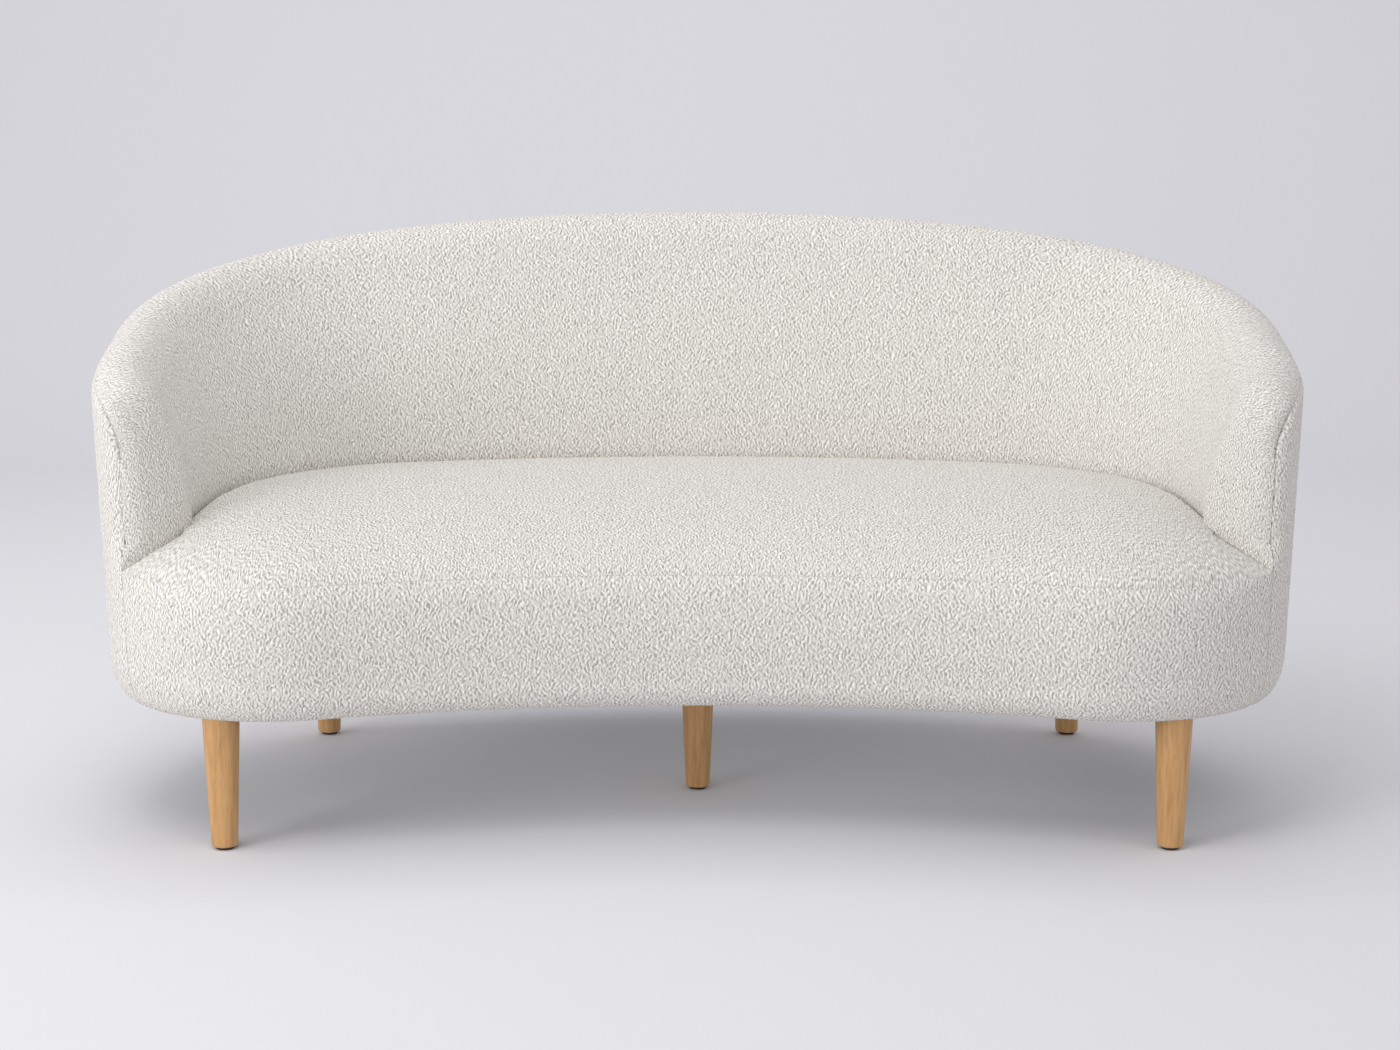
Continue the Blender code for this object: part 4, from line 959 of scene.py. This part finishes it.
def coverPlan(low, high, legs):
    # the flat cover as triangles: its edge, a small hole at each leg, and rows of points between
    edge = coverOutline(0.0, 0.0)[:, :2]
    step, hole = dustCover["step"], dustCover["hole"]
    xs, ys = np.arange(low.x, high.x, step), np.arange(low.y, high.y, step * dustCover["rowShare"])
    grid = np.array([(x + (row % 2) * step / 2, y) for row, y in enumerate(ys) for x in xs])
    grid = grid[insideOutline(edge, grid)]
    clearOfLegs = nearest(grid, legs) > hole + step * dustCover["holeClear"]
    grid = grid[(nearest(grid, edge) > step * dustCover["edgeClear"]) & clearOfLegs]
    turn = np.linspace(0.0, 2 * math.pi, dustCover["holeSides"], endpoint=False)
    circle = hole * np.stack([np.cos(turn), np.sin(turn)], axis=-1)
    rims = [edge] + [circle + leg for leg in legs]
    starts = np.cumsum([0] + [len(rim) for rim in rims])
    borders = [(int(a + k), int(a + (k + 1) % len(rim)))
               for a, rim in zip(starts, rims) for k in range(len(rim))]
    found = delaunay_2d_cdt([Vector(p) for p in np.concatenate(rims + [grid])], borders, [], 0, 1e-7)
    spots = np.array([(p.x, p.y) for p in found[0]])
    triangles = np.array(found[2])
    middle = spots[triangles].mean(axis=1)
    return edge, spots, triangles[insideOutline(edge, middle) & (nearest(middle, legs) > hole)]


def coverPiece(material):
    low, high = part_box("dust_cover")
    legs = [planMiddle("leg_" + which) for which in legPlaces]
    edge, spots, triangles = coverPlan(low, high, legs)
    fromEdge, fromLeg = nearest(spots, edge), nearest(spots, legs)
    slack = smoothStep((fromEdge - dustCover["flatEdge"]) / dustCover["ease"])
    slack = slack * smoothStep((fromLeg - dustCover["flatLeg"]) / dustCover["ease"])
    bearing = np.arctan2(spots[:, 1], spots[:, 0])
    ripple = np.sin(bearing * puckers["count"] + puckers["sway"] * np.sin(bearing * puckers["swayCount"]))
    ripple = ripple * smoothStep((fromEdge - puckers["from"]) / puckers["rise"])
    ripple = ripple * (1.0 - smoothStep((fromEdge - puckers["fadeFrom"]) / puckers["fade"]))
    ripple = np.maximum(0.0, ripple) * smoothStep((fromLeg - dustCover["flatLeg"]) / puckers["fromLeg"])
    lower = low.z - dustCover["sag"] * slack - puckers["depth"] * ripple
    upper = lower + high.z - low.z
    count = len(spots)
    vertices = np.concatenate([np.column_stack([spots, lower]), np.column_stack([spots, upper])])
    sides = dict.fromkeys(pair for a, b, c in triangles.tolist() for pair in ((a, b), (b, c), (c, a)))
    rim = [(a, b, b + count, a + count) for a, b in sides if (b, a) not in sides]
    faces = triangles[:, ::-1].tolist() + (triangles + count).tolist() + rim
    item = smoothObject("dustCover", vertices.tolist(), faces, material, dustCover["sharp"])
    a, b, c = (spots[triangles[:, k]] for k in range(3))
    (abX, abY), (acX, acY) = (b - a).T, (c - a).T
    flatArea = float(np.abs(abX * acY - abY * acX).sum() / 2)
    return item, (high.x - low.x, high.y - low.y), flatArea


def makeStapleTree():
    tree, given = newTree("stapleRow", stapleSizes)
    path = addNode(tree, "GeometryNodeMeshToCurve", {0: given["Geometry"]})
    values = {0: path.outputs[0], "Length": given["Pitch"]}
    points = addNode(tree, "GeometryNodeCurveToPoints", values, mode="LENGTH").outputs
    values = {"Vertices": stapleRow["wireSides"], "Radius": given["Wire Radius"],
              "Depth": given["Crown Length"]}
    wire = addNode(tree, "GeometryNodeMeshCylinder", values)
    values = {0: wire.outputs["Mesh"], "Rotation": (0.0, math.pi / 2, 0.0)}
    lie = addNode(tree, "GeometryNodeTransform", values)
    along = addNode(tree, "FunctionNodeAlignRotationToVector", {"Vector": points["Tangent"]}, axis="X")
    askew = stapleRow["askew"]
    values = {0: (0.0, 0.0, -askew), 1: (0.0, 0.0, askew), "Seed": stapleRow["seed"]}
    chance = addNode(tree, "FunctionNodeRandomValue", values, data_type="FLOAT_VECTOR")
    tilt = addNode(tree, "FunctionNodeEulerToRotation", {0: chance.outputs[0]})
    turned = addNode(tree, "FunctionNodeRotateRotation", {0: along.outputs[0], 1: tilt.outputs[0]})
    values = {"Points": points["Points"], "Instance": lie.outputs[0], "Rotation": turned.outputs[0]}
    spread = addNode(tree, "GeometryNodeInstanceOnPoints", values)
    return endTree(tree, spread.outputs[0], given["Material"])


def staplePiece(material):
    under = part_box("dust_cover")[0].z - stapleSizes["Wire Radius"] - stapleRow["clear"]
    path = coverOutline(stapleRow["inset"], under)
    links = [(k, (k + 1) % len(path)) for k in range(len(path))]
    item = addMesh("dustCoverStaples", path.tolist(), links, [])
    applyTree(item, makeStapleTree(), {"Material": material})
    return item


zinc = makeZinc()
dust, flatSize, flatArea = coverPiece(makeDustCloth())
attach(dust, "root")
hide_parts("dust_cover")
staples = staplePiece(zinc)
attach(staples, "root")
print("dust cover", len(dust.data.polygons), "faces,", round(flatArea, 3), "square metres; staples",
      len(staples.data.polygons), "faces")


# the frame under the covers keeps its solids, in its own materials
def makePlywood():
    made, tree = newMaterial("rawPlywood", 0.68)
    grain, wood = mottled(tree, {"Scale": 1.0, "Detail": 5.0, "Roughness": 0.6, "Distortion": 0.8},
                          [(0.28, (0.46, 0.31, 0.165)), (0.55, (0.64, 0.475, 0.29)),
                           (0.78, (0.74, 0.575, 0.375))], (7.0, 90.0, 90.0))
    plies = addWave(tree, "Z", {"Scale": 110.0, "Distortion": 0.6})
    dark = addRamp(tree, plies, [(0.35, (0.72, 0.64, 0.54)), (0.60, (1.0, 1.0, 1.0))])
    return finished(made, {"Base Color": multiplied(tree, 0.55, wood, dark),
                           "Normal": addBump(tree, grain, 0.25, 0.0004)})


def makeBoard():
    made, tree = newMaterial("rawHardboard", 0.75)
    fibres, colour = mottled(tree, {"Scale": 380.0, "Detail": 6.0, "Roughness": 0.7, "Distortion": 2.0},
                             [(0.30, (0.24, 0.155, 0.085)), (0.55, (0.38, 0.27, 0.165)),
                              (0.75, (0.52, 0.39, 0.25))])
    return finished(made, {"Base Color": colour, "Normal": addBump(tree, fibres, 0.3, 0.0003)})


def makeWebbing():
    made, tree = newMaterial("elasticWebbing", 0.85)
    warp = addWave(tree, "X", {"Scale": 190.0, "Distortion": 0.4})
    weft = addWave(tree, "Y", {"Scale": 260.0, "Distortion": 0.4})
    knit = maths(tree, "MULTIPLY", warp, weft)
    colour = addRamp(tree, knit, [(0.1, (0.025, 0.025, 0.028)), (0.8, (0.125, 0.122, 0.120))])
    return finished(made, {"Base Color": colour, "Normal": addBump(tree, knit, 0.6, 0.0005)})


frameLooks = {"plywood": makePlywood(), "board": makeBoard(), "webbing": makeWebbing(), "steel": zinc}
for item in nodes.values():
    for slot in item.material_slots:
        if slot.material and slot.material.name in frameLooks:
            slot.material = frameLooks[slot.material.name]
print("frame materials set")


# floor and backdrop in one sweep, in an even surround
studio = {"width": 14.0, "near": -7.0, "bend": 3.2, "bendRadius": 2.0, "bendRows": 25, "wall": 5.0,
          "floorColour": (0.786, 0.779, 0.799), "cloud": 0.99, "surround": (0.93, 0.93, 0.97, 1.0),
          "surroundStrength": 0.72}


def makeSweepPaint():
    made, tree = newMaterial("paleSweep", 0.85)
    base = studio["floorColour"]
    clouded = mottled(tree, {"Scale": 0.6, "Detail": 2.0},
                      [(0.3, tuple(studio["cloud"] * c for c in base)), (0.7, base)])[1]
    return finished(made, {"Base Color": clouded, "Specular IOR Level": 0.1})


def makeSweep():
    start, radius, half = studio["bend"], studio["bendRadius"], studio["width"] / 2
    profile = [(studio["near"], 0.0), (start, 0.0)]
    profile += [(start + radius * math.sin(a), radius * (1 - math.cos(a)))
                for a in np.linspace(0.0, math.pi / 2, studio["bendRows"])[1:]]
    profile.append((start + radius, studio["wall"]))
    vertices = [(side * half, y, z) for y, z in profile for side in (-1, 1)]
    faces = [(2 * i, 2 * i + 1, 2 * i + 3, 2 * i + 2) for i in range(len(profile) - 1)]
    return smoothObject("studioSweep", vertices, faces, makeSweepPaint())


makeSweep()

# soft light, as place, aim, size and power: large lamps from the left and above, one on the backdrop, and a
# faint one that lightens the shadow
lamps = {"key": ((-3.9, -0.9, 2.0), (0.0, 0.0, 0.4), (2.2, 2.2), 20.5),
         "left": ((-3.3, -3.1, 1.7), (0.0, 0.0, 0.4), (1.8, 1.8), 51.7),
         "high": ((-0.8, -1.9, 3.3), (0.0, 0.0, 0.4), (1.6, 1.6), 24.5),
         "wall": ((0.0, 1.2, 3.4), (0.0, 4.6, 0.6), (2.5, 2.5), 23.0),
         "shadow": ((0.0, 0.02, 0.165), (0.0, 0.02, 0.0), (1.2, 0.5), 0.5)}
for label, (spot, aim, size, power) in lamps.items():
    data = bpy.data.lights.new(label, "AREA")
    data.shape = "RECTANGLE"
    data.size, data.size_y = size
    data.energy = power
    lamp = addObject(label, data)
    lamp.location = spot
    lamp.visible_camera = False
    lamp.rotation_euler = (Vector(aim) - Vector(spot)).to_track_quat("-Z", "Y").to_euler()
world = bpy.data.worlds.new("surround")
world.use_nodes = True
surround = world.node_tree.nodes["Background"]
setInputs(world.node_tree, surround, {0: studio["surround"], 1: studio["surroundStrength"]})
scene.world = world
print("studio set")
